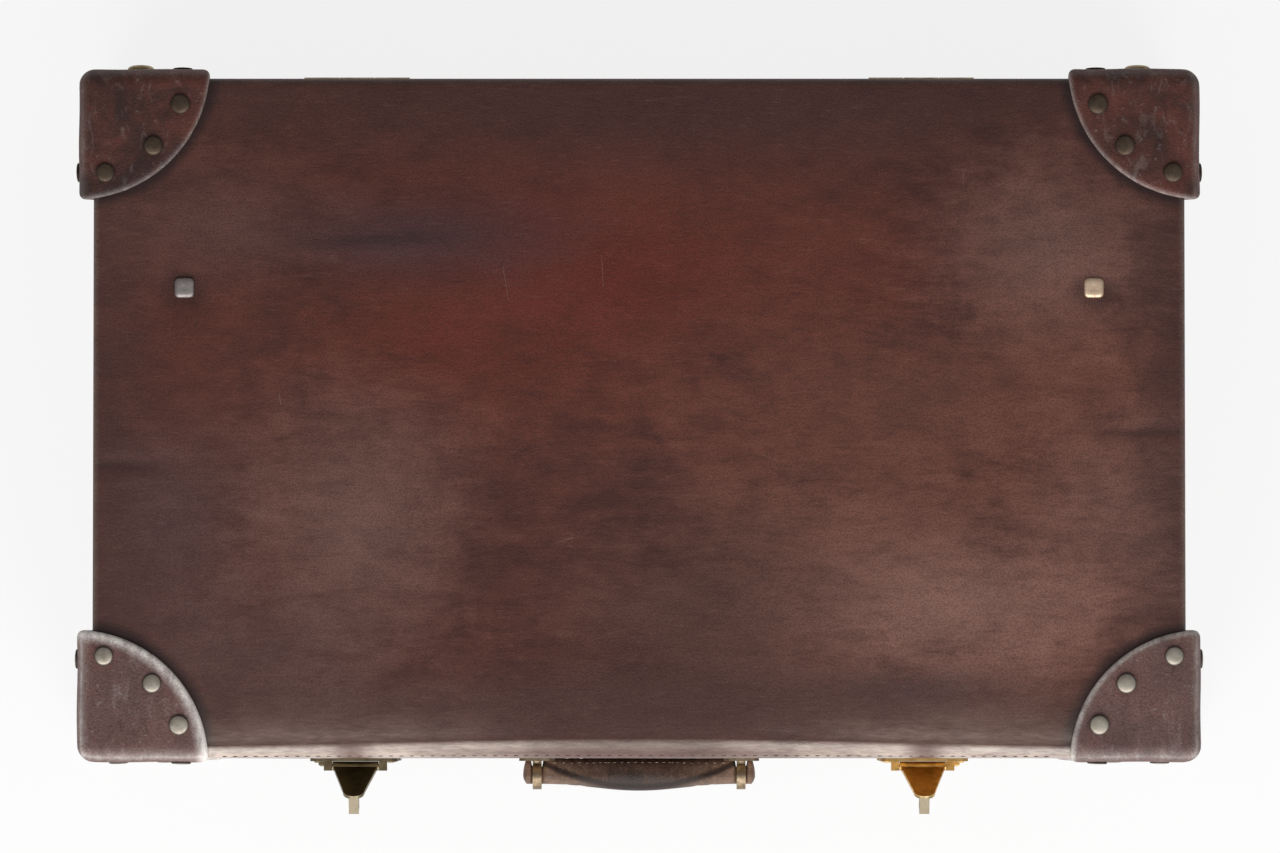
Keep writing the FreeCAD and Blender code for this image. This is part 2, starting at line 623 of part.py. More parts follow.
def tray_dividers():
    """One divider along the tray, and shorter ones across that part its front and back rows."""
    inner_x, inner_y = TRAY_X - TRAY_WALL, TRAY_Y - TRAY_WALL
    z_span = (TRAY_LOW + TRAY_FLOOR, TRAY_TOP - TRAY_DIVIDER_DROP)
    front_y, back_y = CASE_Y - inner_y, CASE_Y + inner_y
    long_y = (front_y + TRAY_FRONT_ROW, front_y + TRAY_FRONT_ROW + TRAY_DIVIDER)
    dividers = [box(about(0, 2 * inner_x), long_y, z_span)]
    rows = [(TRAY_FRONT_CELLS, (front_y, long_y[0])), (TRAY_BACK_CELLS, (long_y[1], back_y))]
    for cells, y_span in rows:
        pitch = (2 * inner_x + TRAY_DIVIDER) / cells
        for i in range(1, cells):
            x = -inner_x + pitch * i - TRAY_DIVIDER
            dividers.append(box((x, x + TRAY_DIVIDER), y_span, z_span))
    return dividers


def tray_tab():
    """A leather tab on the tray's left wall, to lift it by."""
    face = -TRAY_X + TRAY_WALL
    return box((face, face + TAB), about(CASE_Y, TAB_WIDTH), (TRAY_TOP - TAB_TAIL, TRAY_TOP + TAB_RISE))


def tray_ledge():
    """The ledge that the tray's left end rests on."""
    top = TRAY_LOW - RUN_GAP
    return box((-ROOM_X, -ROOM_X + LEDGE_WIDTH), about(CASE_Y, 2 * ROOM_Y), (top - LEDGE_HEIGHT, top))


def save_pair(name, left_piece):
    """The left piece, and its mirror image on the right."""
    save(f"left_{name}", left_piece)
    save(f"right_{name}", mirrored_x(left_piece))


def both_sides(pieces):
    """The given pieces on the left and their mirror images on the right."""
    return list(pieces) + [mirrored_x(piece) for piece in pieces]


def save_caps(half, rim, end):
    heads = []
    for side_name, side_x in SIDES.items():
        for face_name, side_y in {"front": -1, "back": 1}.items():
            save(f"{half}_cap_{face_name}_{side_name}", corner_cap(side_x, side_y, rim, end))
            heads += cap_rivets(side_x, side_y, rim, end)
    save(f"{half}_cap_rivets", *heads)


def at_left_lock(shape):
    return shape.translated(Vec(-LOCK_X, 0, 0))


# The base
mortises = both_sides([at_left_lock(lock_case_block())])
base_boards = wall_boards(BASE_RIM, BASE_END)
save("base_leather", leather_skin(BASE_RIM, BASE_END).cut(mortises))
save("base_front_board", base_boards["front"].cut(mortises))
save("base_back_board", base_boards["back"])
save("base_left_board", base_boards["left"])
save("base_right_board", base_boards["right"])
save("base_bottom_board", base_boards["panel"])
save("base_lining", lining_skin(BASE_RIM, BASE_END))
save("base_lip", *base_lip())
save("base_ledges", *both_sides([tray_ledge()]))
save_caps("base", BASE_RIM, BASE_END)
save("base_feet", *both_sides([foot(-1, BASE_FOOT_RISE)]))

# The locks and the handle on the base
save_pair("lock_case", at_left_lock(lock_case()))
save_pair("lock_plate", at_left_lock(lock_plate()))
save_pair("lock_slide", at_left_lock(lock_slide()))
save("lock_plate_rivets", *both_sides([at_left_lock(r) for r in plate_rivets(LOCK_PLATE_SPAN)]))
save_pair("handle_bracket", handle_bracket(-1))
save("handle_bracket_rivets", *both_sides(bracket_rivets(-1)))
save("handle_grip", handle_grip())

# The lid
lid_boards = wall_boards(LID_RIM, LID_END)
save("lid_leather", drilled_for_studs(leather_skin(LID_RIM, LID_END)))
for board_name in ("front", "back", "left", "right"):
    save(f"lid_{board_name}_board", lid_boards[board_name])
save("lid_top_board", drilled_for_studs(lid_boards["panel"]))
save("lid_lining", drilled_for_studs(lining_skin(LID_RIM, LID_END)))
save_caps("lid", LID_RIM, LID_END)
save("lid_feet", *both_sides([foot(-1, LID_RIM + LID_FOOT_RISE)]))
save("lid_studs", *[lid_stud(seat) for seat in STUD_SEATS])
save("lid_strap", lid_strap())

# The hasps on the lid
save_pair("hasp_plate", at_left_lock(hasp_plate()))
save_pair("hasp", at_left_lock(hasp()))
save("hasp_pins", *both_sides([at_left_lock(hasp_pin())]))
save("hasp_plate_rivets", *both_sides([at_left_lock(r) for r in plate_rivets(HASP_PLATE_SPAN)]))

# The hinges between them
save_pair("hinge_base_leaf", hinge_leaf(-HINGE_X, True))
save_pair("hinge_lid_leaf", hinge_leaf(-HINGE_X, False))
save("hinge_pins", *both_sides([hinge_pin(-HINGE_X)]))
save("hinge_base_screws", *both_sides(hinge_screws(-HINGE_X, -1)))
save("hinge_lid_screws", *both_sides(hinge_screws(-HINGE_X, 1)))

# The tray
save("tray_bottom", box(about(0, 2 * TRAY_X), about(CASE_Y, 2 * TRAY_Y), (TRAY_LOW, TRAY_LOW + TRAY_FLOOR)))
save("tray_walls", *frame_strips(TRAY_X, TRAY_Y, TRAY_WALL, (TRAY_LOW + TRAY_FLOOR, TRAY_TOP)))
save("tray_partitions", *tray_dividers())
save("tray_tabs", *both_sides([tray_tab()]))
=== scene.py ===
# %% [markdown]
# # A leather dressing case
# The solids of the case come in as a fixed frame: boards, plates, hinges, locks and tray, each on
# the body that it moves with. This lesson dresses them. Leather, caps, rivets and the padded handle
# become new surfaces, worked out as whole arrays, and every solid that stays in sight gets a finish.

# %% Load the frame
import itertools
import math
from functools import partialmethod

import bmesh
import bpy
import numpy as np
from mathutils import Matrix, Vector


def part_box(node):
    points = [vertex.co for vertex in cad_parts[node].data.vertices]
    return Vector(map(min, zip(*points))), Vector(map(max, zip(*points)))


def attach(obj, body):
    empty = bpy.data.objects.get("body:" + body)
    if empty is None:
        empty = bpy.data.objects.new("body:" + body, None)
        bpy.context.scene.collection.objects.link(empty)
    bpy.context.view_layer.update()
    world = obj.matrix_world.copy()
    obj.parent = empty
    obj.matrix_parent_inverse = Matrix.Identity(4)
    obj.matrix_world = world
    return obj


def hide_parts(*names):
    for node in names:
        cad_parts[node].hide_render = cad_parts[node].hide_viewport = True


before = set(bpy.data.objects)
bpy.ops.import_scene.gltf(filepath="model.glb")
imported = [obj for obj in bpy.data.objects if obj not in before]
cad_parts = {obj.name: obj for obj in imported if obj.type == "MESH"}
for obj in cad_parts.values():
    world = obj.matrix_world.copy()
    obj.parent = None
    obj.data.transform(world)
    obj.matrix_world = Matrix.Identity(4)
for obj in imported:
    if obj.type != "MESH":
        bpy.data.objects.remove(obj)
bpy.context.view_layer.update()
MM = 0.001

# %% [markdown]
# ## From arrays to a mesh
# A shape is a pair: an array of points in millimetres, and a list of face arrays, each with three or
# four corners to a row. Arrays go into a mesh in one step, which is quicker than adding vertices one
# by one. Points that meet are merged there, and the faces are turned to point outwards.


# %% Mesh helpers
MERGE = 1e-7  # metres


def grid_faces(rows, columns, closed=False):
    """Quads between the rows and columns of a grid of points; closed joins the last column to the first."""
    row, column = np.mgrid[0:rows - 1, 0:columns if closed else columns - 1]
    following = (column + 1) % columns
    here, above = row * columns, (row + 1) * columns
    return np.stack([here + column, here + following, above + following, above + column], -1).reshape(-1, 4)


def make_piece(name, shape, material, body, worn=None):
    """A mesh object from a shape in millimetres, riding on a body of the case.

    worn is a value from 0 to 1 for each point, which the finishes read as an attribute: how far to pale or
    darken it, for wear and for painted highlight and shade."""
    points, faces = shape
    sizes = np.concatenate([np.full(len(f), f.shape[1]) for f in faces])
    mesh = bpy.data.meshes.new(name)
    mesh.vertices.add(len(points))
    mesh.vertices.foreach_set("co", (np.asarray(points, float) * MM).ravel())
    mesh.loops.add(int(sizes.sum()))
    mesh.loops.foreach_set("vertex_index", np.concatenate([f.ravel() for f in faces]).astype(np.int32))
    mesh.polygons.add(len(sizes))
    mesh.polygons.foreach_set("loop_start", np.concatenate([[0], np.cumsum(sizes)[:-1]]).astype(np.int32))
    mesh.update(calc_edges=True)
    if worn is not None:
        mesh.attributes.new("worn", "FLOAT", "POINT").data.foreach_set("value", np.asarray(worn, np.float32))
    work = bmesh.new()
    work.from_mesh(mesh)
    bmesh.ops.remove_doubles(work, verts=work.verts, dist=MERGE)
    bmesh.ops.recalc_face_normals(work, faces=work.faces)
    work.to_mesh(mesh)
    work.free()
    mesh.polygons.foreach_set("use_smooth", np.full(len(mesh.polygons), True))
    mesh.materials.append(material)
    piece = bpy.data.objects.new(name, mesh)
    bpy.context.scene.collection.objects.link(piece)
    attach(piece, body)
    print(f"{name}: {len(mesh.polygons)} faces on {body}")
    return piece


# %% [markdown]
# ## Shader sums
# A finish is easier to read as sums than as a tangle of nodes. `Wire` wraps one socket, so that
# `1 - mask * 0.5` adds the Math nodes by itself. `Finish` starts a material with one shader in it and
# gives every other node through one method.


# %% Wires and finishes
class Wire:
    """One output socket of a finish; arithmetic on it adds Math nodes."""

    def __init__(self, finish, socket):
        self.finish, self.socket = finish, socket

    def math(self, operation, *others):
        """A Math node: this wire first, then other values or wires."""
        values = dict(enumerate((self,) + others))
        return self.finish.node("ShaderNodeMath", {"operation": operation}, values)

    __add__ = __radd__ = partialmethod(math, "ADD")
    __mul__ = __rmul__ = partialmethod(math, "MULTIPLY")
    __sub__, __truediv__ = partialmethod(math, "SUBTRACT"), partialmethod(math, "DIVIDE")
    __abs__, power = partialmethod(math, "ABSOLUTE"), partialmethod(math, "POWER")
    at_most, at_least = partialmethod(math, "MINIMUM"), partialmethod(math, "MAXIMUM")

    def __rsub__(self, other):
        return (self * -1) + other

    def step(self, low, high):
        """0 below low and 1 above high, smooth between; the other way round where low is the greater."""
        return self.finish.node("ShaderNodeMapRange", {"interpolation_type": "SMOOTHSTEP"},
                                {"Value": self, "From Min": low, "From Max": high})


class Finish:
    """A material with one Principled shader, and the nodes that feed it."""

    def __init__(self, name, **constants):
        self.material = bpy.data.materials.new(name)
        self.material.use_nodes = True
        self.tree = self.material.node_tree
        self.shader = self.tree.nodes["Principled BSDF"]
        for socket, value in constants.items():
            self.shader.inputs[socket.replace("_", " ")].default_value = value

    def node(self, kind, settings=None, inputs=None, out=0):
        """A node of a kind: its settings first, then the values or wires of its sockets."""
        made = self.tree.nodes.new(kind)
        for key, value in (settings or {}).items():
            setattr(made, key, value)
        for key, value in (inputs or {}).items():
            if isinstance(value, Wire):
                self.tree.links.new(value.socket, made.inputs[key])
            else:
                made.inputs[key].default_value = value
        return Wire(self, made.outputs[out])

    def place(self, scale=(1, 1, 1), turn=(0, 0, 0), shift=(0, 0, 0)):
        """Object coordinates, moved, turned and scaled."""
        coords = self.node("ShaderNodeTexCoord", out="Object")
        return self.node("ShaderNodeMapping", {"vector_type": "POINT"},
                         {"Vector": coords, "Location": shift, "Rotation": turn, "Scale": scale})

    def axes(self):
        """The three Object coordinates in millimetres, each a wire."""
        coords = self.node("ShaderNodeTexCoord", out="Object")
        parted = self.node("ShaderNodeSeparateXYZ", None, {0: coords}).socket.node
        return [Wire(self, parted.outputs[i]) * (1 / MM) for i in range(3)]

    def noise(self, waves, detail=4.0, rough=0.55, warp=0.0, **where):
        """Cloudy noise between 0 and 1; waves to the metre, or to a unit of the given scale."""
        return self.node("ShaderNodeTexNoise", {"noise_dimensions": "3D"},
                         {"Vector": self.place(**where), "Scale": waves, "Detail": detail,
                          "Roughness": rough, "Distortion": warp})

    def worn(self):
        """How pale or dark a shape says it is to be painted, from 0 to 1: wear, painted highlight and painted
        shade.
        """
        return self.node("ShaderNodeAttribute", {"attribute_name": "worn"}, out="Fac")

    def mix(self, factor, first, second):
        """From one colour to another; either may be a wire, or three values as a screen shows them."""
        first, second = [tint if isinstance(tint, Wire) else colour(*tint) for tint in (first, second)]
        return self.node("ShaderNodeMix", {"data_type": "RGBA"}, {0: factor, 6: first, 7: second}, out=2)

    def ramp(self, factor, stops):
        """A colour that runs through stops of (factor, colour)."""
        wire = self.node("ShaderNodeValToRGB", None, {0: factor})
        elements = wire.socket.node.color_ramp.elements
        while len(elements) < len(stops):
            elements.new(1)
        for element, (position, tint) in zip(elements, stops):
            element.position, element.color = position, colour(*tint)
        return wire

    def link(self, **sockets):
        """Lead wires into the shader."""
        for socket, wire in sockets.items():
            self.tree.links.new(wire.socket, self.shader.inputs[socket.replace("_", " ")])

    def bump(self, height, distance, strength=1.0):
        """Small relief: the height in shares of a distance in millimetres."""
        self.link(Normal=self.node("ShaderNodeBump", None,
                                   {"Strength": strength, "Distance": distance * MM, "Height": height}))


def colour(red, green, blue):
    """A colour as it shows on a screen, from 0 to 255, turned into the linear values of a shader."""
    shown = np.array([red, green, blue]) / 255
    linear = np.where(shown <= 0.04045, shown / 12.92, ((shown + 0.055) / 1.055) ** 2.4)
    return (*linear.tolist(), 1.0)


# %% [markdown]
# ## Sizes
# Every size that can be read from the frame is read from it. The few others repeat the part's own
# values, in millimetres, because the leather and the caps have to lie where their solids lie.


# %% Sizes from the frame
def box_mm(node):
    """A node's lowest and highest corner in millimetres."""
    low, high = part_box(node)
    return np.array(low) / MM, np.array(high) / MM


lid_low, lid_high = box_mm("lid_leather")
base_low, base_high = box_mm("base_leather")
HALF_X = lid_high[0]
FRONT_Y, BACK_Y = lid_low[1], lid_high[1]
MIDDLE_Y, HALF_Y = (FRONT_Y + BACK_Y) / 2, (BACK_Y - FRONT_Y) / 2
LID_TOP, LID_RIM = lid_high[2], lid_low[2]
BASE_RIM, BASE_BOTTOM = base_high[2], base_low[2]
CAP_SIDE, CAP_BACK, CAP_FRONT, CAP_FACE = 9.0, 6.0, 2.5, 4.0  # how far the caps stand out
CAP_ROUND, CAP_REACH, CAP_RIM_GAP = 10.0, 74.0, 5.0
STUD_X, STUD_Y = 254.0, MIDDLE_Y + 72.5
STUDS = [(-STUD_X, STUD_Y), (STUD_X, STUD_Y)]
print("lid", lid_low.round(1), lid_high.round(1))

# %% [markdown]
# ## Old leather
# A century of wax, hands and dust leaves leather in clouds, with a redder field where the dye is
# fresh, and darker towards its borders. The pale greyish patches on the right and round the right
# stud are painted sheen, where the lamps glance off the swelling hide. Clouds of noise carry the
# mottling, broad soft spots place the red field and the painted sheen, and noise that is drawn out
# along the hide gives its grain. Dark lines of painted shade lie in its creases and round the studs,
# and a ring of painted shadow lies just outside each cap. The fine pebbles are colour and bump only,
# because they are far smaller than the mesh.


# %% Leather of the case
def apart(x, y, centre, reach):
    """The distance from a centre, 1 at an ellipse round it."""
    across, along = (x - centre[0]) / reach[0], (y - centre[1]) / reach[1]
    return (across * across + along * along).power(0.5)


def scratch(x, y, start, end, width, fade=1.0):
    """1 on a short straight line, falling to 0 at a width from it and over a fade at its ends."""
    run = np.subtract(end, start)
    length = float(np.hypot(*run))
    along = ((x - start[0]) * (run[0] / length) + (y - start[1]) * (run[1] / length))
    off = abs((x - start[0]) * (-run[1] / length) + (y - start[1]) * (run[0] / length))
    return off.step(width, 0.0) * along.step(-fade, fade) * along.step(length + fade, length - fade)


def strongest(masks):
    """The greatest of several masks at each point."""
    top, *others = masks
    for mask in others:
        top = top.at_least(mask)
    return top


def pebbles(finish, size):
    """The cells of a hide's grain, about one size across, in millimetres."""
    return finish.node("ShaderNodeTexVoronoi", {"feature": "F1"},
                       {"Vector": finish.place(), "Scale": 1 / (size * MM), "Randomness": 1.0})


# Patches of tone; the pale greyish ones on the right and round the right stud are painted sheen.
TONE_AND_SHEEN_PATCHES = [  # centre, reach, colour, share
    ((-30, 74), (235, 118), (100, 40, 30), 0.75), ((-26, 84), (92, 58), (110, 38, 26), 0.42),
    ((-105, 42), (100, 42), (108, 44, 31), 0.55), ((120, 78), (95, 50), (98, 42, 33), 0.55),
    ((-126, 101), (130, 34), (64, 49, 52), 0.72), ((-240, 110), (85, 52), (100, 69, 63), 0.58),
    ((-262, -60), (60, 88), (80, 61, 60), 0.62), ((-255, 35), (60, 62), (94, 48, 39), 0.55),
    ((30, 166), (290, 44), (66, 41, 38), 0.60), ((160, -100), (205, 90), (132, 95, 84), 0.60),
    ((176, -108), (95, 48), (150, 112, 101), 0.55), ((228, 92), (88, 76), (134, 99, 90), 0.62),
    ((170, 0), (220, 96), (120, 75, 62), 0.62), ((-158, -62), (84, 104), (122, 91, 83), 0.64),
    ((22, -122), (105, 92), (62, 39, 35), 0.55), ((0, -158), (320, 28), (68, 48, 45), 0.55),
    ((266, -52), (72, 78), (134, 96, 86), 0.58), ((-225, -135), (120, 55), (84, 67, 65), 0.45),
    ((150, -152), (66, 15), (60, 43, 44), 0.60)]
# Creases whose shade is painted as soft dark lines.
SHADED_CREASES = [  # from, to, width, fade
    ((-310, -26), (-272, -28), 5.0, 10), ((310, -7), (268, -9), 5.0, 12), ((-190, 97), (-110, 101), 7.0, 25)]
SCORES = [  # from, to, width
    ((-201, 14), (-200, 7), 0.45), ((69, -21), (77, -24), 0.45), ((-76, 84), (-73, 66), 0.35),
    ((-21, 92), (-20, 72), 0.35), ((-52, -72), (-36, -67), 0.30), ((181, 138), (181, 128), 0.35)]
FAR_AWAY = 1000.0  # more than any distance on the case


def case_leather():
    """The hide of the two halves; y is counted from the middle of the case."""
    finish = Finish("case_leather", Specular_IOR_Level=0.26, Coat_Roughness=0.22)
    x, y, z = finish.axes()
    y = y - MIDDLE_Y
    clouds = finish.noise(8.0, 6, 0.62, 0.9)
    small = finish.noise(38.0, 5, 0.62, 0.5, shift=(3, 1, 0))
    drawn = finish.noise(1.0, 5, 0.62, 0.5, scale=(34, 95, 95))
    hair = finish.noise(1.0, 3, 0.65, 0.0, scale=(110, 680, 680))
    strand = finish.noise(1.0, 4, 0.62, 0.7, scale=(62, 230, 230), shift=(0, 2, 0))
    tone = clouds.step(0.18, 0.76) * 0.40 + small.step(0.22, 0.75) * 0.26 + drawn.step(0.25, 0.75) * 0.34
    hide = finish.ramp(tone, [(0.15, (62, 33, 28)), (0.40, (78, 42, 35)), (0.60, (89, 49, 40)),
                              (0.90, (106, 62, 51))])
    ragged = (clouds - 0.5) * 0.8 + (small - 0.5) * 0.6 + (drawn - 0.5) * 0.6 + (strand - 0.5) * 0.5
    # The pale greyish patches are painted sheen, where the lamps glance off the swelling hide.
    for centre, reach, tint, share in TONE_AND_SHEEN_PATCHES:
        patch = (1 - apart(x, y, centre, reach) + ragged).step(-0.15, 1.15)
        hide = finish.mix(patch * share, hide, tint)
    side = (abs(x) * -1 + HALF_X) + (small - 0.5) * 40
    ends = (abs(y) * -1 + HALF_Y) + (small - 0.5) * 36
    border = side.at_most(ends).step(48.0, 4.0)
    hide = finish.mix(border * 0.50, hide, (66, 44, 41))
    pale_hair = hair.step(0.56, 0.74) * 0.13 + strand.step(0.56, 0.74) * 0.06
    dark_hair = hair.step(0.43, 0.27) * 0.22 + strand.step(0.44, 0.28) * 0.12
    hide = finish.mix(pale_hair, hide, (146, 104, 92))
    hide = finish.mix(dark_hair, hide, (40, 22, 20))
    # Painted shadow: a dark ring on the hide just outside each cap's cut edge.
    corner_x = abs(x) * -1 + (HALF_X + CAP_SIDE)
    corner_y = (y + (HALF_Y + CAP_FRONT)).at_most(y * -1 + (HALF_Y + CAP_BACK))
    on_base = z.step(LID_RIM + 0.1, LID_RIM - 0.1)
    corner_z = (LID_TOP + CAP_FACE - z + on_base * FAR_AWAY).at_most(z - (BASE_BOTTOM - CAP_FACE))
    ring = (corner_x * corner_x + corner_y * corner_y + corner_z * corner_z).power(0.5) + (small - 0.5) * 5
    hide = finish.mix(ring.step(CAP_REACH + 8.0, CAP_REACH + 1.0) * 0.8, hide, (30, 20, 20))
    # Painted shade: dark lines in the creases and in the hollows round the studs.
    wavy = y + (small - 0.5) * 5
    hollows = [scratch(x, wavy, *dark_line) for dark_line in SHADED_CREASES]
    for stud_x, stud_y in STUDS:
        hollows.append(apart(x, y, (stud_x, stud_y - MIDDLE_Y - 2), (15, 12)).step(1.1, 0.45) * 0.8)
    painted_crease_shade = strongest(hollows) * z.step(LID_TOP - 8, LID_TOP - 4)
    hide = finish.mix(painted_crease_shade * 0.50, hide, (46, 30, 29))
    scored = strongest([scratch(x, y, *score) for score in SCORES])
    scored = scored * z.step(LID_TOP - 4, LID_TOP - 2) * small.step(0.35, 0.6)
    hide = finish.mix(scored * 0.40, hide, (150, 124, 112))
    grain = pebbles(finish, 1.0)
    hide = finish.mix(grain.step(0.30, 0.75) * 0.30, hide, (36, 21, 20))
    # The shape's attribute pales the hide for wear, and on the lid's front edge for a painted highlight, held
    # back where painted shade falls.
    worn = finish.worn()
    rubbed_and_lit = worn * (0.30 + drawn.step(0.2, 0.8) * 0.5 + hair.step(0.35, 0.65) * 0.3)
    hide = finish.mix(rubbed_and_lit.at_most(1.0), hide, (194, 177, 164))
    finish.link(Base_Color=hide, Roughness=0.42 + clouds * 0.14 + hair * 0.12 - worn * 0.14,
                Coat_Weight=(worn * 1.2 + 0.03).at_most(1.0))
    relief = drawn * 0.4 + hair * 0.22 - grain * 0.34 - scored * 0.4 + small * 0.55
    finish.bump(relief, 0.5, 0.6)
    return finish.material


CASE_LEATHER = case_leather()


# %% [markdown]
# ## Leather of the caps, the handle and the straps
# The caps are thicker hide, pressed wet over the corners. Theirs is the hardest wear, and every cut
# edge shows pale fibre; the pale bands along the cuts and folds are also painted highlight. The front
# pair is painted grey, a painted reflection of the front lamps. An attribute called `worn`,
# which the shapes themselves carry, says where an edge is.


# %% Thick leather
def thick_leather(name, dark, mid, pale, front_sheen=None, shade_line=None):
    """Pressed hide, from its dark clouds to its pale edges, which are partly worn and partly painted
    highlight.

    front_sheen is a pale grey painted over the front, a painted reflection of the front lamps.
    shade_line is (bow, place): a dark line of painted shade that lies at that place along Y in the
    middle and bends away by the bow times the square of x."""
    finish = Finish(name, Specular_IOR_Level=0.3)
    x, y, _ = finish.axes()
    clouds = finish.noise(26.0, 5, 0.62, 0.6)
    fine = finish.noise(240.0, 4, 0.6)
    hide = finish.mix(clouds.step(0.34, 0.68), dark, mid)
    # Painted reflection: a pale grey over the front, where the front lamps glance off the caps.
    if front_sheen:
        hide = finish.mix((y + (clouds - 0.5) * 160).step(10.0, -150.0) * (0.35 + clouds * 0.6), hide, front_sheen)
    scuff = finish.noise(1.0, 4, 0.65, 1.2, scale=(150, 60, 100), turn=(0, 0, 0.7))
    for mark, low, high, share, tint in ((scuff, 0.54, 0.74, 0.07, pale), (scuff, 0.46, 0.28, 0.45, dark),
                                         (fine, 0.60, 0.78, 0.14, pale), (fine, 0.40, 0.26, 0.35, dark)):
        hide = finish.mix(mark.step(low, high) * share, hide, tint)
    worn = finish.worn()
    rubbed_and_lit = worn * (0.30 + clouds * 0.45 + scuff.step(0.36, 0.64) * 0.40 + fine.step(0.35, 0.65) * 0.25)
    hide = finish.mix(rubbed_and_lit.at_most(0.95), hide, pale)
    # Painted shade: a dark line bowed along the underside of the grip.
    if shade_line:
        bow, middle = shade_line
        dark_line = abs(y - x * x * bow - middle)
        hide = finish.mix(dark_line.step(3.0, 0.6) * 0.85, hide, dark)
    grain = pebbles(finish, 1.2)
    hide = finish.mix(grain.step(0.30, 0.75) * 0.30 * (1 - worn * 0.7), hide, dark)
    finish.link(Base_Color=hide, Roughness=0.36 + fine * 0.25 + scuff * 0.12)
    finish.bump(fine * 0.5 + clouds * 0.5 - grain * 0.40, 0.6, 0.7)
    return finish.material


# Where the painted shade line runs along the grip's underside.
HANDLE_SHADE_LINE = (0.0047, FRONT_Y - 17.2)
CAP_LEATHER = thick_leather("cap_leather", (50, 32, 28), (98, 53, 44), (232, 225, 219),
                            front_sheen=(112, 86, 82))
HANDLE_LEATHER = thick_leather("handle_leather", (34, 24, 21), (78, 55, 45), (142, 114, 96),
                               shade_line=HANDLE_SHADE_LINE)
STRAP_LEATHER = thick_leather("strap_leather", (88, 54, 34), (124, 80, 52), (168, 126, 92))


# %% [markdown]
# ## Brass and rivets
# Brass that nobody polishes goes brown in its hollows and stays yellow where a thumb rubs it. One
# function makes all the metals: two colours of clouds, a little dirt, and fine scratches in the gloss.


# %% Metals
def old_metal(name, bright, dull, grime, rough, dirt, other=None, tip=None):
    """Worn metal: bright and dull clouds, with grime over a share of it, and darker wherever a shape's
    attribute says so.

    other is (axis, from, to, dull, bright): along that axis the metal turns to two other colours.
    tip is (from, to, colour): along Y, the far end of the piece turns to that colour."""
    finish = Finish(name, Metallic=1.0)
    clouds = finish.noise(130.0, 6, 0.66, 0.3)
    specks = finish.noise(760.0, 4, 0.65)
    swipe = finish.noise(1.0, 3, 0.6, 0.0, scale=(240, 3200, 900))
    shine = clouds.step(0.22, 0.74)
    metal = finish.mix(shine, dull, bright)
    if other:
        axis, start, end, *pair = other
        metal = finish.mix(finish.axes()[axis].step(start, end), metal, finish.mix(shine, *pair))
    if tip:
        start, end, tint = tip
        metal = finish.mix(finish.axes()[1].step(start, end), metal, tint)
    darkened = (clouds.step(0.52, 0.26) * 0.6 + specks.step(0.58, 0.74) * 0.5) * dirt + finish.worn()
    metal = finish.mix(darkened, metal, grime)
    finish.link(Base_Color=metal, Roughness=rough + darkened * 0.25 + swipe * 0.12, Metallic=1 - darkened * 0.35)
    finish.bump(specks * 0.6 + swipe * 0.3, 0.12, 0.5)
    return finish.material


BRASS = old_metal("brass", (214, 166, 84), (158, 112, 46), (70, 46, 22), 0.28, 0.55)
HINGE_BRASS = old_metal("hinge_brass", (158, 138, 106), (112, 92, 64), (56, 42, 28), 0.38, 0.6)
LOCK_BRASS = old_metal("lock_brass", (226, 190, 124), (184, 144, 80), (84, 58, 28), 0.36, 0.5,
                       other=(0, 1.0, -1.0, (98, 88, 68), (146, 132, 104)),
                       tip=(FRONT_Y - 20.0, FRONT_Y - 23.0, (124, 115, 98)))
RING_BRASS = old_metal("ring_brass", (164, 146, 122), (114, 97, 76), (60, 46, 36), 0.38, 0.6)
RIVET_METAL = old_metal("rivet_metal", (184, 176, 164), (146, 137, 125), (58, 46, 40), 0.48, 0.4,
                        other=(1, MIDDLE_Y - 20, MIDDLE_Y + 20, (74, 61, 52), (106, 91, 78)))
STUD_METAL = old_metal("stud_metal", (234, 208, 182), (206, 178, 150), (96, 72, 52), 0.46, 0.35,
                       other=(0, 1.0, -1.0, (132, 124, 122), (168, 160, 158)))
STEEL = old_metal("lock_steel", (170, 170, 168), (128, 127, 124), (62, 52, 44), 0.38, 0.5)


# %% [markdown]
# ## Wood, cloth and thread
# The boards are pine, seen only at the rims and in the tray. The lining is a plain woven cotton: two
# waves at right angles make its weave. Thread is waxed linen.


# %% Inside finishes
def pine(name, pale, ring, turn=0.0):
    """Planed wood: slow rings and fine pores, drawn out along X, or along Y after a quarter turn."""
    finish = Finish(name, Specular_IOR_Level=0.3)
    wander = finish.noise(1.0, 4, 0.55, 0.8, scale=(3.0, 26, 26), turn=(0, 0, turn))
    heart = finish.place(scale=(0.22, 1.0, 1.0), turn=(0, 0, turn), shift=(0, 0.31, 0.17))
    rings = finish.node("ShaderNodeTexWave", {"wave_type": "RINGS", "rings_direction": "X"},
                        {"Vector": heart, "Scale": 24.0, "Distortion": 7.0, "Detail": 3.0,
                         "Detail Scale": 1.6})
    pores = finish.noise(1.0, 3, 0.6, 0.0, scale=(45, 1500, 1500), turn=(0, 0, turn))
    wood = finish.mix(rings * 0.35 + wander.step(0.35, 0.70) * 0.35, pale, ring)
    wood = finish.mix(pores.step(0.56, 0.74) * 0.30, wood, ring)
    finish.link(Base_Color=wood, Roughness=0.52 + pores * 0.16)
    finish.bump(pores, 0.15, 0.5)
    return finish.material


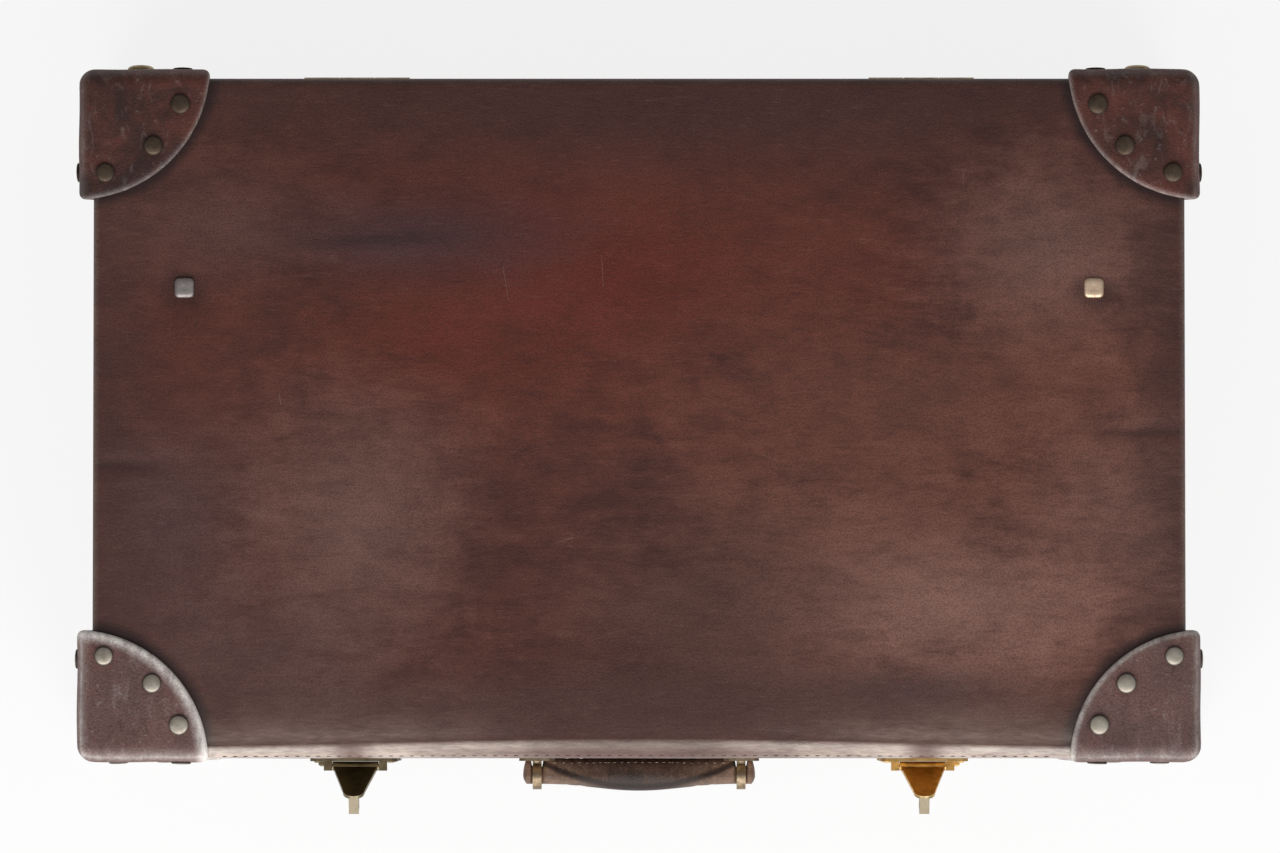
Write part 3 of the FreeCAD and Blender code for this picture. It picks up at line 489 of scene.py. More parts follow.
def woven(name, ground, light):
    """Woven cloth: warp and weft as two waves, faded in soft clouds."""
    finish = Finish(name, Roughness=0.85, Specular_IOR_Level=0.2)
    warp = finish.node("ShaderNodeTexWave", {"bands_direction": "X"},
                       {"Vector": finish.place(), "Scale": 260.0, "Distortion": 0.6})
    weft = finish.node("ShaderNodeTexWave", {"bands_direction": "Y"},
                       {"Vector": finish.place(shift=(0.0004, 0, 0)), "Scale": 260.0, "Distortion": 0.6})
    clouds = finish.noise(16.0, 5, 0.6, 0.4)
    cloth = finish.mix(clouds.step(0.3, 0.75) * 0.55 + warp * weft * 0.35, ground, light)
    finish.link(Base_Color=cloth)
    finish.bump(warp * 0.5 + weft * 0.5, 0.25, 0.6)
    return finish.material


PINE = pine("pine", (176, 138, 94), (128, 90, 54))
SIDE_PINE = pine("side_pine", (174, 136, 92), (126, 88, 53), math.pi / 2)
TRAY_WOOD = pine("tray_wood", (132, 84, 54), (88, 50, 32))
LINING_CLOTH = woven("lining_cloth", (104, 38, 42), (146, 76, 72))
THREAD = thick_leather("waxed_thread", (60, 44, 36), (96, 74, 58), (150, 130, 110))
PALE_THREAD = thick_leather("pale_thread", (112, 98, 84), (176, 160, 142), (214, 202, 186))
print("finishes:", ", ".join(material.name for material in bpy.data.materials))

# %% [markdown]
# ## The solids that stay
# Boards, plates, pins, hinges and the tray are right as they are, so they keep their solids and take
# their finish by name. The left lock has gone dark over the years and the right one has stayed
# yellow, so the two sides differ.

# %% Dress the solids
FINISHES = [  # a node takes the first finish whose word its name holds
    ("ledges", SIDE_PINE), ("left_board", SIDE_PINE), ("right_board", SIDE_PINE), ("board", PINE),
    ("lip", PINE), ("strap", STRAP_LEATHER), ("tabs", STRAP_LEATHER), ("tray", TRAY_WOOD),
    ("lining", LINING_CLOTH), ("lock_case", STEEL), ("bracket", RING_BRASS), ("hinge", HINGE_BRASS),
    ("hasp", LOCK_BRASS), ("lock", LOCK_BRASS), ("", BRASS)]
for node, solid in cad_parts.items():
    solid.data.materials.clear()
    solid.data.materials.append(next(finish for word, finish in FINISHES if word in node))
print("dressed", len(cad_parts), "solids")

# %% [markdown]
# ## The leather of the two halves
# One hide covers the end of each half and folds down over its four walls. A flat plate would look
# dead, so the surface is a grid that is pulled about: it swells a little over the board, sinks in
# round the two studs, and has old dents at its sides. The rounded edge follows a quarter circle, and
# its radius grows along the front, where hands have worn it most. Each point is also told how pale it
# is to be painted, for the finish to read: for wear, and on the lid's front edge also for a painted
# highlight and painted shade. The sheet is then given a back, so that it is a closed skin.


# %% A sheet with a back
def edge_pairs(faces):
    """Every edge of the faces that only one face has, in that face's own direction."""
    edges = np.concatenate([np.stack([f, np.roll(f, -1, 1)], -1).reshape(-1, 2) for f in faces])
    keys = np.sort(edges, 1)
    _, first, count = np.unique(keys, axis=0, return_index=True, return_counts=True)
    return edges[first[count == 1]]


def closed_skin(front, back, faces):
    """A sheet and the sheet behind it, joined round every open edge and hole."""
    count = len(front)
    rims = edge_pairs(faces)
    walls = np.column_stack([rims[:, 1], rims[:, 0], rims[:, 0] + count, rims[:, 1] + count])
    return np.concatenate([front, back]), faces + [f[:, ::-1] + count for f in faces] + [walls]


# %% Lie of the hide
def smoothstep(value, low, high):
    """0 below low, 1 above high, and an even S between them: 3t² - 2t³."""
    t = np.clip((value - low) / (high - low), 0, 1)
    return t * t * (3 - 2 * t)


def bell(x, y, centre, reach):
    """A soft round hill: e to minus half the squared distance, in reaches."""
    return np.exp(-(((x - centre[0]) / reach[0]) ** 2 + ((y - centre[1]) / reach[1]) ** 2) / 2)


HILLS = [  # height, centre, reach
    (0.7, (225, 100), (46, 40)), (0.5, (165, -95), (80, 34)), (-0.5, (-145, 96), (46, 5)),
    (-0.4, (-60, 58), (5, 26))]
DENTS = [  # depth, centre from the middle of the lid, reach
    (0.95, (-296, -26), (24, 2.6)), (0.45, (-272, -30), (28, 9)), (0.95, (296, -7), (26, 3.0)),
    (0.45, (262, -4), (36, 13))]
CROWN, DEEPEST = 1.15, -1.1


def lid_swell(x, y):
    """How far the lid's hide stands off its board, in millimetres.

    A broad crown with slow waves and hills, which die away towards the edges and under the caps, less
    the dents of the sides and bells at the studs."""
    across = y - MIDDLE_Y
    flat_edge = (1 - np.abs(x / HALF_X) ** 10) * (1 - np.abs(across / HALF_Y) ** 8)
    from_side, from_end = np.maximum(HALF_X - np.abs(x), 0), np.maximum(HALF_Y - np.abs(across), 0)
    corner = smoothstep(np.hypot(from_side, from_end), 70, 110)
    waves = (0.30 * np.sin(0.021 * x + 0.8) * np.cos(0.027 * y + 0.4)
             + 0.22 * np.sin(0.047 * x - 0.031 * y + 2.0) + 0.14 * np.cos(0.083 * y + 0.022 * x))
    hills = sum(height * bell(x, y, centre, reach) for height, centre, reach in HILLS)
    swell = np.maximum(CROWN + waves + hills, 0.0) * flat_edge * corner
    swell -= sum(depth * bell(x, across, centre, reach) for depth, centre, reach in DENTS)
    for stud in STUDS:
        swell -= 0.9 * bell(x, y, stud, (9, 8)) + 0.5 * bell(x, y, (stud[0], stud[1] - 3), (22, 12))
    return np.maximum(swell, DEEPEST)


def base_swell(x, y):
    """The base lies on its caps and its hide hardly swells: slow waves only."""
    u, v = x / HALF_X, (y - MIDDLE_Y) / HALF_Y
    return (0.5 + 0.25 * np.sin(0.03 * x) * np.cos(0.04 * y)) * (1 - np.abs(u) ** 8) * (1 - np.abs(v) ** 8)


def wall_swell(run, height):
    """Slow waves of a wall, along its run and up its height; none at the rim, where plates lie flat."""
    return 0.20 * np.sin(0.024 * run + 0.6) * np.sin(np.pi * height) + 0.12 * np.sin(0.061 * run) * height


# %% Edges, their wear and their painted light
EDGE_ROUND = 4.5
LID_FRONT, BASE_FRONT = (6.4, 11.0), (4.5, 5.0)  # the front edge's radius at the ends and in the middle
hasp_low, hasp_high = box_mm("right_hasp")
HASP_X = (hasp_low[0] + hasp_high[0]) / 2


def front_radius(front_edge, x):
    """A front edge's radius at x: a squared cosine, from its value at the ends to that in the middle."""
    return front_edge[0] + (front_edge[1] - front_edge[0]) * np.cos(np.pi * x / (2 * HALF_X)) ** 2


def towards_ends(x):
    """A smooth step along x: 0 in the middle and 1 towards the ends."""
    return smoothstep(np.abs(x), 40, 170)


def strip_wear_and_light(x, turn):
    """The paleness of the lid's front edge, partly wear and partly a painted highlight: a low power of a sine
    round its curve, taken down by painted shade in the middle, behind the handle, and by a darker painted
    reflection near each hasp.
    """
    # Painted shade in the middle, behind the handle, and the darker painted reflection of each hasp near it.
    lit_share = 1 - 0.72 * (1 - towards_ends(x)) * smoothstep(np.sin(turn), 0.15, 0.75)
    lit_share = lit_share * (0.45 + 0.55 * smoothstep(np.abs(x), 25, 90))
    lit_share = lit_share * (1 - 0.75 * np.exp(-(((np.abs(x) - HASP_X) / 11.0) ** 2)))
    return np.sin(2 * turn) ** 0.4 * lit_share


def brushed_wear(x, from_edge):
    """The wear of the lid's top next to that edge: it falls off like e to minus the distance from it."""
    return 0.42 * (0.1 + 0.9 * towards_ends(x)) * np.exp(-from_edge / 8.0) * smoothstep(from_edge, -2.0, 4.0)


# %% Skin of one half
LEATHER = 1.7
END_COLUMNS, END_ROWS = 152, 94
ARC_STEPS, WALL_STEPS = 10, 14
CORNER_DRAW = 0.80  # of the way out, where two walls meet, so that their edge is rounded


def half_skin(rim, end, swell, front_edge, plates, x_lines, z_lines):
    """The hide of one half, as points, faces and how pale each point is to be painted.

    The end is a grid. Its outline is carried outwards round a quarter circle and along the walls to
    the rim. plates are boxes of the front wall, in x and z, where a lock goes through and the hide is
    cut away; x_lines and z_lines put grid lines on their edges."""
    up = np.sign(end - rim)
    flat_x = HALF_X - EDGE_ROUND
    x = np.unique(np.concatenate([np.linspace(-flat_x, flat_x, END_COLUMNS), x_lines]))
    share = np.linspace(0, 1, END_ROWS)
    near, far = FRONT_Y + front_radius(front_edge, x), BACK_Y - EDGE_ROUND
    y = near[None, :] + share[:, None] * (far - near[None, :])
    grid_x = np.broadcast_to(x, y.shape)
    level = end + up * swell(grid_x, y)
    rows, columns = y.shape
    top = np.stack([grid_x, y, level], -1).reshape(-1, 3)
    index = np.arange(rows * columns).reshape(rows, columns)
    loop = np.concatenate([index[0, :-1], index[:-1, -1], index[-1, :0:-1], index[:0:-1, 0]])
    start, count = top[loop], len(loop)
    sign_x = np.isclose(start[:, 0], flat_x) * 1.0 - np.isclose(start[:, 0], -flat_x) * 1.0
    on_front, on_back = np.isin(loop, index[0]) * 1.0, np.isin(loop, index[-1]) * 1.0
    sign_y = on_back - on_front
    corner = np.where(np.abs(sign_x * sign_y) > 0, CORNER_DRAW, 1.0)
    reach = np.where(on_front > 0, FRONT_Y, np.where(on_back > 0, BACK_Y, 0))
    radius_y = np.abs(reach - start[:, 1]) * np.abs(sign_y)
    radius = np.maximum(radius_y, EDGE_ROUND * np.abs(sign_x))
    run = np.where(np.abs(sign_y) > 0, start[:, 0], start[:, 1])
    rings, worn = [], []
    for turn in np.linspace(0, np.pi / 2, ARC_STEPS + 1)[1:]:
        out = np.sin(turn) * corner
        drop = radius * (1 - np.cos(turn))
        ring_x, ring_y = start[:, 0] + sign_x * EDGE_ROUND * out, start[:, 1] + sign_y * radius_y * out
        ring_z = end - up * drop + (start[:, 2] - end) * np.cos(turn)
        rings.append(np.column_stack([ring_x, ring_y, ring_z]))
        plain = 0.12 * np.sin(2 * turn) ** 2
        # The lid's front edge is paled for wear and for a painted highlight, with painted shade in places.
        worn.append(np.where(on_front * (up > 0), strip_wear_and_light(start[:, 0], turn), plain))
    bend = rings[-1]
    levels = np.linspace(end - up * (front_edge[1] + 1), rim, WALL_STEPS)
    for z in np.unique(np.concatenate([levels, z_lines]))[::int(-up)]:
        height = abs(z - rim) / abs(end - rim)
        bulge = wall_swell(run, height) * smoothstep(height, 0, 0.25) * (1 - smoothstep(height, 0.75, 1))
        wall = [bend[:, 0] + sign_x * bulge, bend[:, 1] + sign_y * bulge, np.full(count, z)]
        rings.append(np.column_stack(wall))
        worn.append(np.full(count, 0.5 * np.exp(-abs(z - rim) / 2.5)))
    front = np.concatenate([top] + rings)
    brushed = brushed_wear(grid_x, y - near) * (up > 0)
    skin_wear_and_light = np.concatenate([brushed.ravel()] + worn)
    inset = LEATHER * np.column_stack([-sign_x, -sign_y, 0 * sign_x])
    back = np.concatenate([top] + [ring + inset for ring in rings])
    under = end - up * LEATHER
    back[:, 2] = np.where(up * (back[:, 2] - under) > 0, under, back[:, 2])
    lines = np.concatenate([loop, len(top) + np.arange(len(rings) * count)])
    walls = lines[grid_faces(len(rings) + 1, count, closed=True)]
    middle = front[walls].mean(1)
    keep = np.ones(len(walls), bool)
    for (x_low, x_high), (z_low, z_high) in plates:
        keep &= ~((middle[:, 1] < FRONT_Y + 3) & (middle[:, 0] > x_low) & (middle[:, 0] < x_high)
                  & (middle[:, 2] > z_low) & (middle[:, 2] < z_high))
    shape = closed_skin(front, back, [grid_faces(rows, columns), walls[keep]])
    return shape, np.concatenate([skin_wear_and_light, skin_wear_and_light * 0])


# %% The two hides
SLOT_ROOM = 0.2
lock_low, lock_high = box_mm("left_lock_case")
lock_x = np.array([lock_low[0] - SLOT_ROOM, lock_high[0] + SLOT_ROOM])
lock_z = np.array([lock_low[2] - SLOT_ROOM, lock_high[2] + SLOT_ROOM])
mortises = [(tuple(lock_x), tuple(lock_z)), (tuple(-lock_x[::-1]), tuple(lock_z))]

shape, skin_wear_and_light = half_skin(LID_RIM, LID_TOP, lid_swell, LID_FRONT, [], [], [])
lid_skin = make_piece("lid_hide", shape, CASE_LEATHER, "lid", worn=skin_wear_and_light)
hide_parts("lid_leather")
lock_sides = np.concatenate([lock_x, -lock_x])
shape, skin_wear_and_light = half_skin(BASE_RIM, BASE_BOTTOM, base_swell, BASE_FRONT, mortises, lock_sides, lock_z)
base_skin = make_piece("base_hide", shape, CASE_LEATHER, "base", worn=skin_wear_and_light)
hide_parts("base_leather")

# %% [markdown]
# ## Corner caps
# A cap is thick hide, pressed over a corner until it holds the shape by itself. Spread out round the
# corner, its three faces make one full turn, so the whole cap is a disc: rings about the corner, and
# columns that turn from the end face to the side wall, the front wall and back again. Every point of the
# sharp corner is then drawn onto a rounded one. At the cut, the disc's last rings fall away in a
# small bevel, which is painted pale: partly worn fibre, partly a painted highlight.

# %% Cap shape
FACE_TURNS = 36
CAP_RINGS = np.concatenate([np.linspace(0, 0.25, 7), np.linspace(0.25, 1.0, 26)[1:]])
# The bevel's steps: how far from the cut, and how far down.
BEVEL = np.array([(3.4, 0.0), (2.3, 0.18), (1.3, 0.6), (0.6, 1.2), (0.15, 2.0), (0.0, 2.8)])
HOLLOW_SHARE, CUT_SHARE, BACK_SHARE = 0.95, 0.97, 0.985  # of the thickness: deepest hollow, cut, back
CAP_STOPS = {"lid": (LID_RIM, LID_TOP), "base": (BASE_RIM, BASE_BOTTOM)}
CAP_FACES, CAP_SIDES = {"front": -1, "back": 1}, {"left": -1, "right": 1}
# Strength and width of the pale band along the cut and round the folds, by side and face: partly wear, partly
# a painted highlight, strongest on the front left.
CAP_WEAR_AND_LIGHT = {(-1, -1): (1.0, 8.0), (1, -1): (0.7, 4.0), (-1, 1): (0.25, 1.8), (1, 1): (0.28, 2.0)}
RIVET_HEAD = 5.5
RIVET_CIRCLE, RIVET_ANGLES = 61.5, np.radians([20.0, 46.0, 75.0])
LID_WALL_RIVETS = np.array([(58.0, 18.0), (21.0, 47.0)])


def cap_frame(side_x, side_y, half):
    """A cap's outermost corner and the way inwards from it."""
    rim, end = CAP_STOPS[half]
    up = np.sign(end - rim)
    y = BACK_Y + CAP_BACK if side_y > 0 else FRONT_Y - CAP_FRONT
    corner = np.array([side_x * (HALF_X + CAP_SIDE), y, end + up * CAP_FACE])
    return corner, np.array([-side_x, -side_y, -up])


def rivet_seats(half):
    """Rivet places inwards from a cap's corner, and the axis each looks along: 0 side, 1 front, 2 end."""
    circle = RIVET_CIRCLE * np.column_stack([np.cos(RIVET_ANGLES), np.sin(RIVET_ANGLES)])
    wall = LID_WALL_RIVETS if half == "lid" else circle
    seats = [((a, 0, b), 1) for a, b in wall] + [((0, a, b), 0) for a, b in wall]
    return seats + ([((a, b, 0), 2) for a, b in circle] if half == "lid" else [])


def cap_shape(side_x, side_y, half):
    """One cap as a closed skin, and how pale each point is painted, for wear and for painted highlight.

    Ways about the corner, times distances from it, make a sharp corner. It is drawn onto a rounded one,
    and sinks in slow waves, round the rivets and at the cut."""
    rim, end = CAP_STOPS[half]
    turn = np.arange(FACE_TURNS) * (np.pi / 2 / FACE_TURNS)
    cosine, sine, none = np.cos(turn), np.sin(turn), np.zeros(FACE_TURNS)
    ways = np.concatenate([np.column_stack([cosine, sine, none]), np.column_stack([none, cosine, sine]),
                           np.column_stack([sine, none, cosine])])
    room = abs(end - rim) + CAP_FACE - CAP_RIM_GAP
    reach = np.minimum(CAP_REACH, room / np.maximum(ways[:, 2], 1e-6))
    flat = CAP_RINGS[:, None] * (reach - BEVEL[0, 0])[None, :]
    bevel = reach[None, :] - BEVEL[1:, :1]
    distance = np.concatenate([flat, bevel, reach[None, :]])
    sharp = distance[..., None] * ways[None]
    centre = np.maximum(sharp, CAP_ROUND)
    inward = (centre - sharp) / np.linalg.norm(centre - sharp, axis=-1, keepdims=True)
    rounded = centre - CAP_ROUND * inward
    thick = inward @ np.array([CAP_SIDE, CAP_BACK if side_y > 0 else CAP_FRONT, CAP_FACE])
    waves = 0.22 * np.sin(0.11 * rounded[..., 0] + side_x) * np.sin(0.13 * rounded[..., 1] + 2 * side_y)
    sink = 0.42 + waves + 0.18 * np.sin(0.17 * rounded[..., 2] + side_x + side_y)
    for seat, _ in rivet_seats(half):
        sink = sink + 0.55 * np.exp(-np.sum((rounded - seat) ** 2, -1) / (2 * RIVET_HEAD**2))
    cut = np.concatenate([np.zeros(len(CAP_RINGS)), BEVEL[1:, 1], [0]])[:, None]
    depth = np.minimum(sink + cut, thick * HOLLOW_SHARE)
    depth[-1] = thick[-1] * CUT_SHARE
    corner, way_in = cap_frame(side_x, side_y, half)
    sheets = [rounded + inward * deep[..., None] for deep in (depth, thick * BACK_SHARE)]
    front, back = [(corner + way_in * sheet).reshape(-1, 3) for sheet in sheets]
    # Painted highlight: the rounded folds are painted pale, and so, partly, is the band along the cut.
    fold = 1 - np.max(np.abs(inward), -1)
    strength, width = CAP_WEAR_AND_LIGHT[side_x, side_y]
    from_cut = smoothstep(reach[None, :] - distance, width, 0)
    worn = np.clip(from_cut + 2.6 * fold**1.5, 0, 1) * strength
    return closed_skin(front, back, [grid_faces(*depth.shape, closed=True)]), np.tile(worn.ravel(), 2)


for half, face, side in itertools.product(CAP_STOPS, CAP_FACES, CAP_SIDES):
    shape, worn = cap_shape(CAP_SIDES[side], CAP_FACES[face], half)
    cap = make_piece(f"cap_{half}_{face}_{side}", shape, CAP_LEATHER, half, worn)
    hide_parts(f"{half}_cap_{face}_{side}")

# %% [markdown]
# ## Rivets, feet and studs
# A hammered head is never a perfect dome. Each is a profile carried round its own axis, with its
# radius and tilt a little off. The two studs in the lid's top have heads that are nearly square: the
# same turned profile, on an outline between a circle and a square.

# %% Heads
HEADS = np.random.default_rng(7)
HEAD_COLUMNS, ROUND_COLUMNS = 24, 32
HEAD_RISE = (1.6, 1.0, 1.9)  # flattest on the front and back walls, where hands and shelves rub
HEAD_SKIRT = 1.2


def turned(profile, seat, outward, columns=HEAD_COLUMNS, square=2.0, tilt=(0.0, 0.0)):
    """A profile of (radius, height) carried round an axis; square 2 is a circle and more is squarer."""
    turn = np.arange(columns) * (2 * np.pi / columns)
    round_x, round_y = np.cos(turn), np.sin(turn)
    swell = (np.abs(round_x) ** square + np.abs(round_y) ** square) ** (-1 / square)
    outward = np.asarray(outward, float)
    across = np.array([0, 1.0, 0]) if abs(outward[0]) > 0.5 else np.array([1.0, 0, 0])
    beside = np.cross(outward, across)
    radius, height = np.asarray(profile, float).T
    ring = (round_x * swell)[:, None] * across + (round_y * swell)[:, None] * beside
    points = (np.asarray(seat, float) + radius[:, None, None] * ring[None] + height[:, None, None] * outward)
    slope = (ring @ across) * tilt[0] + (ring @ beside) * tilt[1]
    points = points + (radius[:, None] * slope[None] * (height[:, None] > 0))[..., None] * outward
    return points.reshape(-1, 3), [grid_faces(len(radius), columns, closed=True)]


def dome(radius, rise, skirt, fullness=0.75, edge=0.35):
    """A head's profile: a skirt below its seat, a low edge, and a crown of a cosine's power and a sine."""
    turn = np.linspace(0, np.pi / 2, 8)
    crown = np.column_stack([radius * np.cos(turn) ** fullness, edge + (rise - edge) * np.sin(turn)])
    crown[-1, 0] = 0.0
    return np.concatenate([[(0, -skirt), (radius * 0.97, -skirt), (radius, 0.15)], crown])


def joined(shapes):
    """Many shapes as one: the points one after another, and the faces counted on."""
    points, faces, count = [], [], 0
    for shape_points, shape_faces in shapes:
        points.append(shape_points)
        faces += [f + count for f in shape_faces]
        count += len(shape_points)
    return np.concatenate(points), faces


def cap_rivets(half):
    """The heads of one half's four caps, and how dark their rims are made."""
    heads, rim_dark = [], []
    for side_x, side_y in itertools.product(CAP_SIDES.values(), CAP_FACES.values()):
        corner, way_in = cap_frame(side_x, side_y, half)
        for seat, axis in rivet_seats(half):
            outward = np.zeros(3)
            outward[axis] = -way_in[axis]
            size = RIVET_HEAD * HEADS.uniform(0.95, 1.02)
            profile = dome(size, HEAD_RISE[axis] * HEADS.uniform(0.85, 1.02), HEAD_SKIRT)
            tilt = HEADS.uniform(-0.03, 0.03, 2)
            heads.append(turned(profile, corner + way_in * seat, outward, tilt=tilt))
            # The outermost rim of each head is made darker.
            rim_dark.append(np.repeat(smoothstep(profile[:, 0] / size, 0.84, 0.97), HEAD_COLUMNS))
    return joined(heads), 0.8 * np.concatenate(rim_dark)


# %% Rivets and feet
FOOT_RADIUS = 7.5
FOOT = dome(FOOT_RADIUS, 3.0, 0.8, 0.6)
for half in CAP_STOPS:
    shape, rim_dark = cap_rivets(half)
    heads = make_piece(f"{half}_rivets", shape, RIVET_METAL, half, rim_dark)
    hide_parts(f"{half}_cap_rivets")
    foot_low, foot_high = box_mm(f"{half}_feet")
    foot_x, foot_z = foot_high[0] - FOOT_RADIUS, (foot_low[2] + foot_high[2]) / 2
    domes = [turned(FOOT, (x, foot_low[1], foot_z), (0, 1, 0), ROUND_COLUMNS) for x in (-foot_x, foot_x)]
    feet = make_piece(f"{half}_domes", joined(domes), HINGE_BRASS, half)
    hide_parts(f"{half}_feet")

# %% Studs
STUD_HEAD = [(0, -0.6), (5.2, -0.6), (5.6, 0.2), (5.5, 0.8), (4.9, 1.4), (3.6, 1.75), (1.6, 1.6), (0, 1.5)]
WASHER = [(0, -0.1), (4.4, -0.1), (4.5, 0.5), (3.9, 1.0), (1.5, 1.2), (0, 1.2)]
WASHER_Z = box_mm("lid_studs")[0][2] + WASHER[-1][1]
stud_heads = []
for x, y in STUDS:
    stud_heads.append(turned(STUD_HEAD, (x, y, LID_TOP), (0, 0, 1), ROUND_COLUMNS, square=5.0))
    stud_heads.append(turned(WASHER, (x, y, WASHER_Z), (0, 0, -1), ROUND_COLUMNS))
studs = make_piece("stud_heads", joined(stud_heads), STUD_METAL, "lid")
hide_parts("lid_studs")

# %% [markdown]
# ## The handle
# A rope core is wrapped in hide and sewn shut, full in the middle and drawn tight at the ends, which
# turn in two brass rings. It is one profile carried along a bowed path: an oval that swells to the
# middle, with a sewn ridge along its lower side, and folds where the arms bend.

# %% Padded grip
HANDLE_DROP, HANDLE_STRAIGHT, HANDLE_JOURNAL = 28.0, 17.0, 4.9
HANDLE_TALL, HANDLE_THICK = 10.8, 9.1  # half sizes of the padded middle
HANDLE_STAND_OFF, HANDLE_TIP = 10.3, 2.0
RING_X, RING_WIDTH = 58.0, 5.0
GRIP_COLUMNS, GRIP_ROWS = 56, 220
OVAL = 0.92  # the power of the cosine in a section; 1 is an ellipse
ring_low, ring_high = box_mm("left_handle_bracket")
HANDLE_END = box_mm("handle_grip")[1][0]
HANDLE_Y = FRONT_Y - HANDLE_STAND_OFF
HANDLE_Z = (ring_low[2] + ring_high[2]) / 2
ARM_END = RING_X - RING_WIDTH / 2 - 0.3


def handle_path(x):
    """The drop of the centre line below the rings at x, and its slope: half a cosine wave down each arm."""
    arm = ARM_END - HANDLE_STRAIGHT
    bend = np.pi * np.clip((np.abs(x) - HANDLE_STRAIGHT) / arm, 0, 1)
    slope = np.sign(x) * HANDLE_DROP * np.pi / arm * np.sin(bend) / 2
    return HANDLE_DROP * (1 + np.cos(bend)) / 2, slope


def handle_frame(x):
    """Centre points of the path, and the directions upright to it and along it."""
    drop, slope = handle_path(x)
    along = np.column_stack([np.ones_like(x), 0 * x, slope]) / np.hypot(1, slope)[:, None]
    upright = np.column_stack([-along[:, 2], 0 * x, along[:, 0]])
    return np.column_stack([x, 0 * x + HANDLE_Y, HANDLE_Z - drop]), upright, along


def handle_half_sizes(x):
    """Half height at x, and thickness to the front and to the back.

    A squared cosine swells them from the ends to the middle, bells take out two folds, the arms are
    fuller behind, and a neck as wide as a ring lets them turn in it."""
    swell = np.cos(np.pi * np.clip(x / ARM_END, -1, 1) / 2) ** 2
    folds = 1 - 0.05 * np.exp(-((np.abs(x) - 33) / 2.5) ** 2)
    folds = folds - 0.04 * np.exp(-((np.abs(x) - 41) / 2.0) ** 2)
    tip = np.sqrt(np.clip((HANDLE_END - np.abs(x)) / HANDLE_TIP, 0, 1))
    off_ring = np.abs(np.abs(x) - RING_X) - RING_WIDTH / 2
    neck = smoothstep(off_ring, 0.2, 1.4)
    arm_tall, arm_back = HANDLE_JOURNAL + 1.8 * neck, HANDLE_JOURNAL + 5.0 * neck
    tall = (arm_tall + (HANDLE_TALL - arm_tall) * swell) * folds * tip
    front = (HANDLE_JOURNAL + (HANDLE_THICK - HANDLE_JOURNAL) * swell) * folds * tip
    back = arm_back * folds * tip
    return tall, front, back


def handle_shape():
    """The grip's rings along its path, and how pale they are painted: worn on the arms, and a painted
    highlight on the back half, which lies in shade.

    Each ring is an oval, and the ridge is a narrow swelling at its lowest point."""
    inside = np.linspace(HANDLE_TIP - HANDLE_END, HANDLE_END - HANDLE_TIP, GRIP_ROWS)
    tips = HANDLE_END - HANDLE_TIP * np.array([0.0, 0.02, 0.1, 0.3, 0.6])
    x = np.concatenate([-tips, inside, tips[::-1]])
    turn = np.arange(GRIP_COLUMNS) * (2 * np.pi / GRIP_COLUMNS)
    centre, upright, _ = handle_frame(x)
    tall, front, back = handle_half_sizes(x)
    thick = np.where(np.sin(turn)[None, :] < 0, front[:, None], back[:, None])
    lowest = np.exp(-((np.cos(turn) + 1) / 0.02) ** 2)[None, :]
    ridge = 1 + 0.10 * lowest * (np.abs(x) < ARM_END - 4)[:, None]
    flat = np.sign(np.cos(turn)) * np.abs(np.cos(turn)) ** OVAL
    points = (centre[:, None] + upright[:, None] * (tall[:, None] * flat * ridge)[..., None]
              + np.array([0, 1.0, 0]) * (thick * np.sin(turn))[..., None])
    # Painted highlight: the back half of the grip, which lies in shade, is painted paler; the arms are worn.
    on_arms, behind = smoothstep(np.abs(x), 16, 50), smoothstep(np.sin(turn), 0.0, 0.7)
    worn = 0.08 + 0.50 * on_arms[:, None] + 0.40 * behind[None, :]
    return (points.reshape(-1, 3), [grid_faces(len(x), len(turn), closed=True)]), worn.ravel()


shape, worn = handle_shape()
grip = make_piece("padded_grip", shape, HANDLE_LEATHER, "handle", worn)
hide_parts("handle_grip")

# %% [markdown]
# ## Stitches
# Waxed thread shows as short rounded dashes. One stitch is a small spindle that lies half in the hide;
# rows of them run along both rims, the lid's front edge and the back of the handle.

# %% Rows of thread
STITCH_PITCH, STITCH_SLANT, EDGE_SLANT, STITCH_STEPS = 5.8, 0.06, 0.05, 6
RIM_INSET, CORNER_INSET = 2.3, 12.0
HINGE_SPAN = (126.0, 194.0)
EDGE_ROW_TURN = np.radians(58)


def stitches(places, ways, length=3.0, thick=0.42):
    """Spindles at places, along ways: a ring's radius is the root of half a sine wave from end to end."""
    share = np.linspace(0, 1, STITCH_STEPS)
    turn = np.arange(STITCH_STEPS) * (2 * np.pi / STITCH_STEPS)
    ways = ways / np.linalg.norm(ways, axis=1, keepdims=True)
    helper = np.where(np.abs(ways[:, 1:2]) > 0.9, [[1.0, 0, 0]], [[0, 1.0, 0]])
    side = np.cross(ways, helper)
    side /= np.linalg.norm(side, axis=1, keepdims=True)
    other = np.cross(ways, side)
    radius = thick * np.sqrt(np.sin(np.pi * share))
    ring = (side[:, None, None] * np.cos(turn)[None, None, :, None]
            + other[:, None, None] * np.sin(turn)[None, None, :, None]) * radius[None, :, None, None]
    steps = ((share - 0.5) * length)[None, :, None, None]
    points = places[:, None, None] + ways[:, None, None] * steps + ring
    faces = grid_faces(STITCH_STEPS, STITCH_STEPS, closed=True)
    starts = np.arange(len(places)) * STITCH_STEPS**2
    return points.reshape(-1, 3), [(faces[None] + starts[:, None, None]).reshape(-1, 4)]


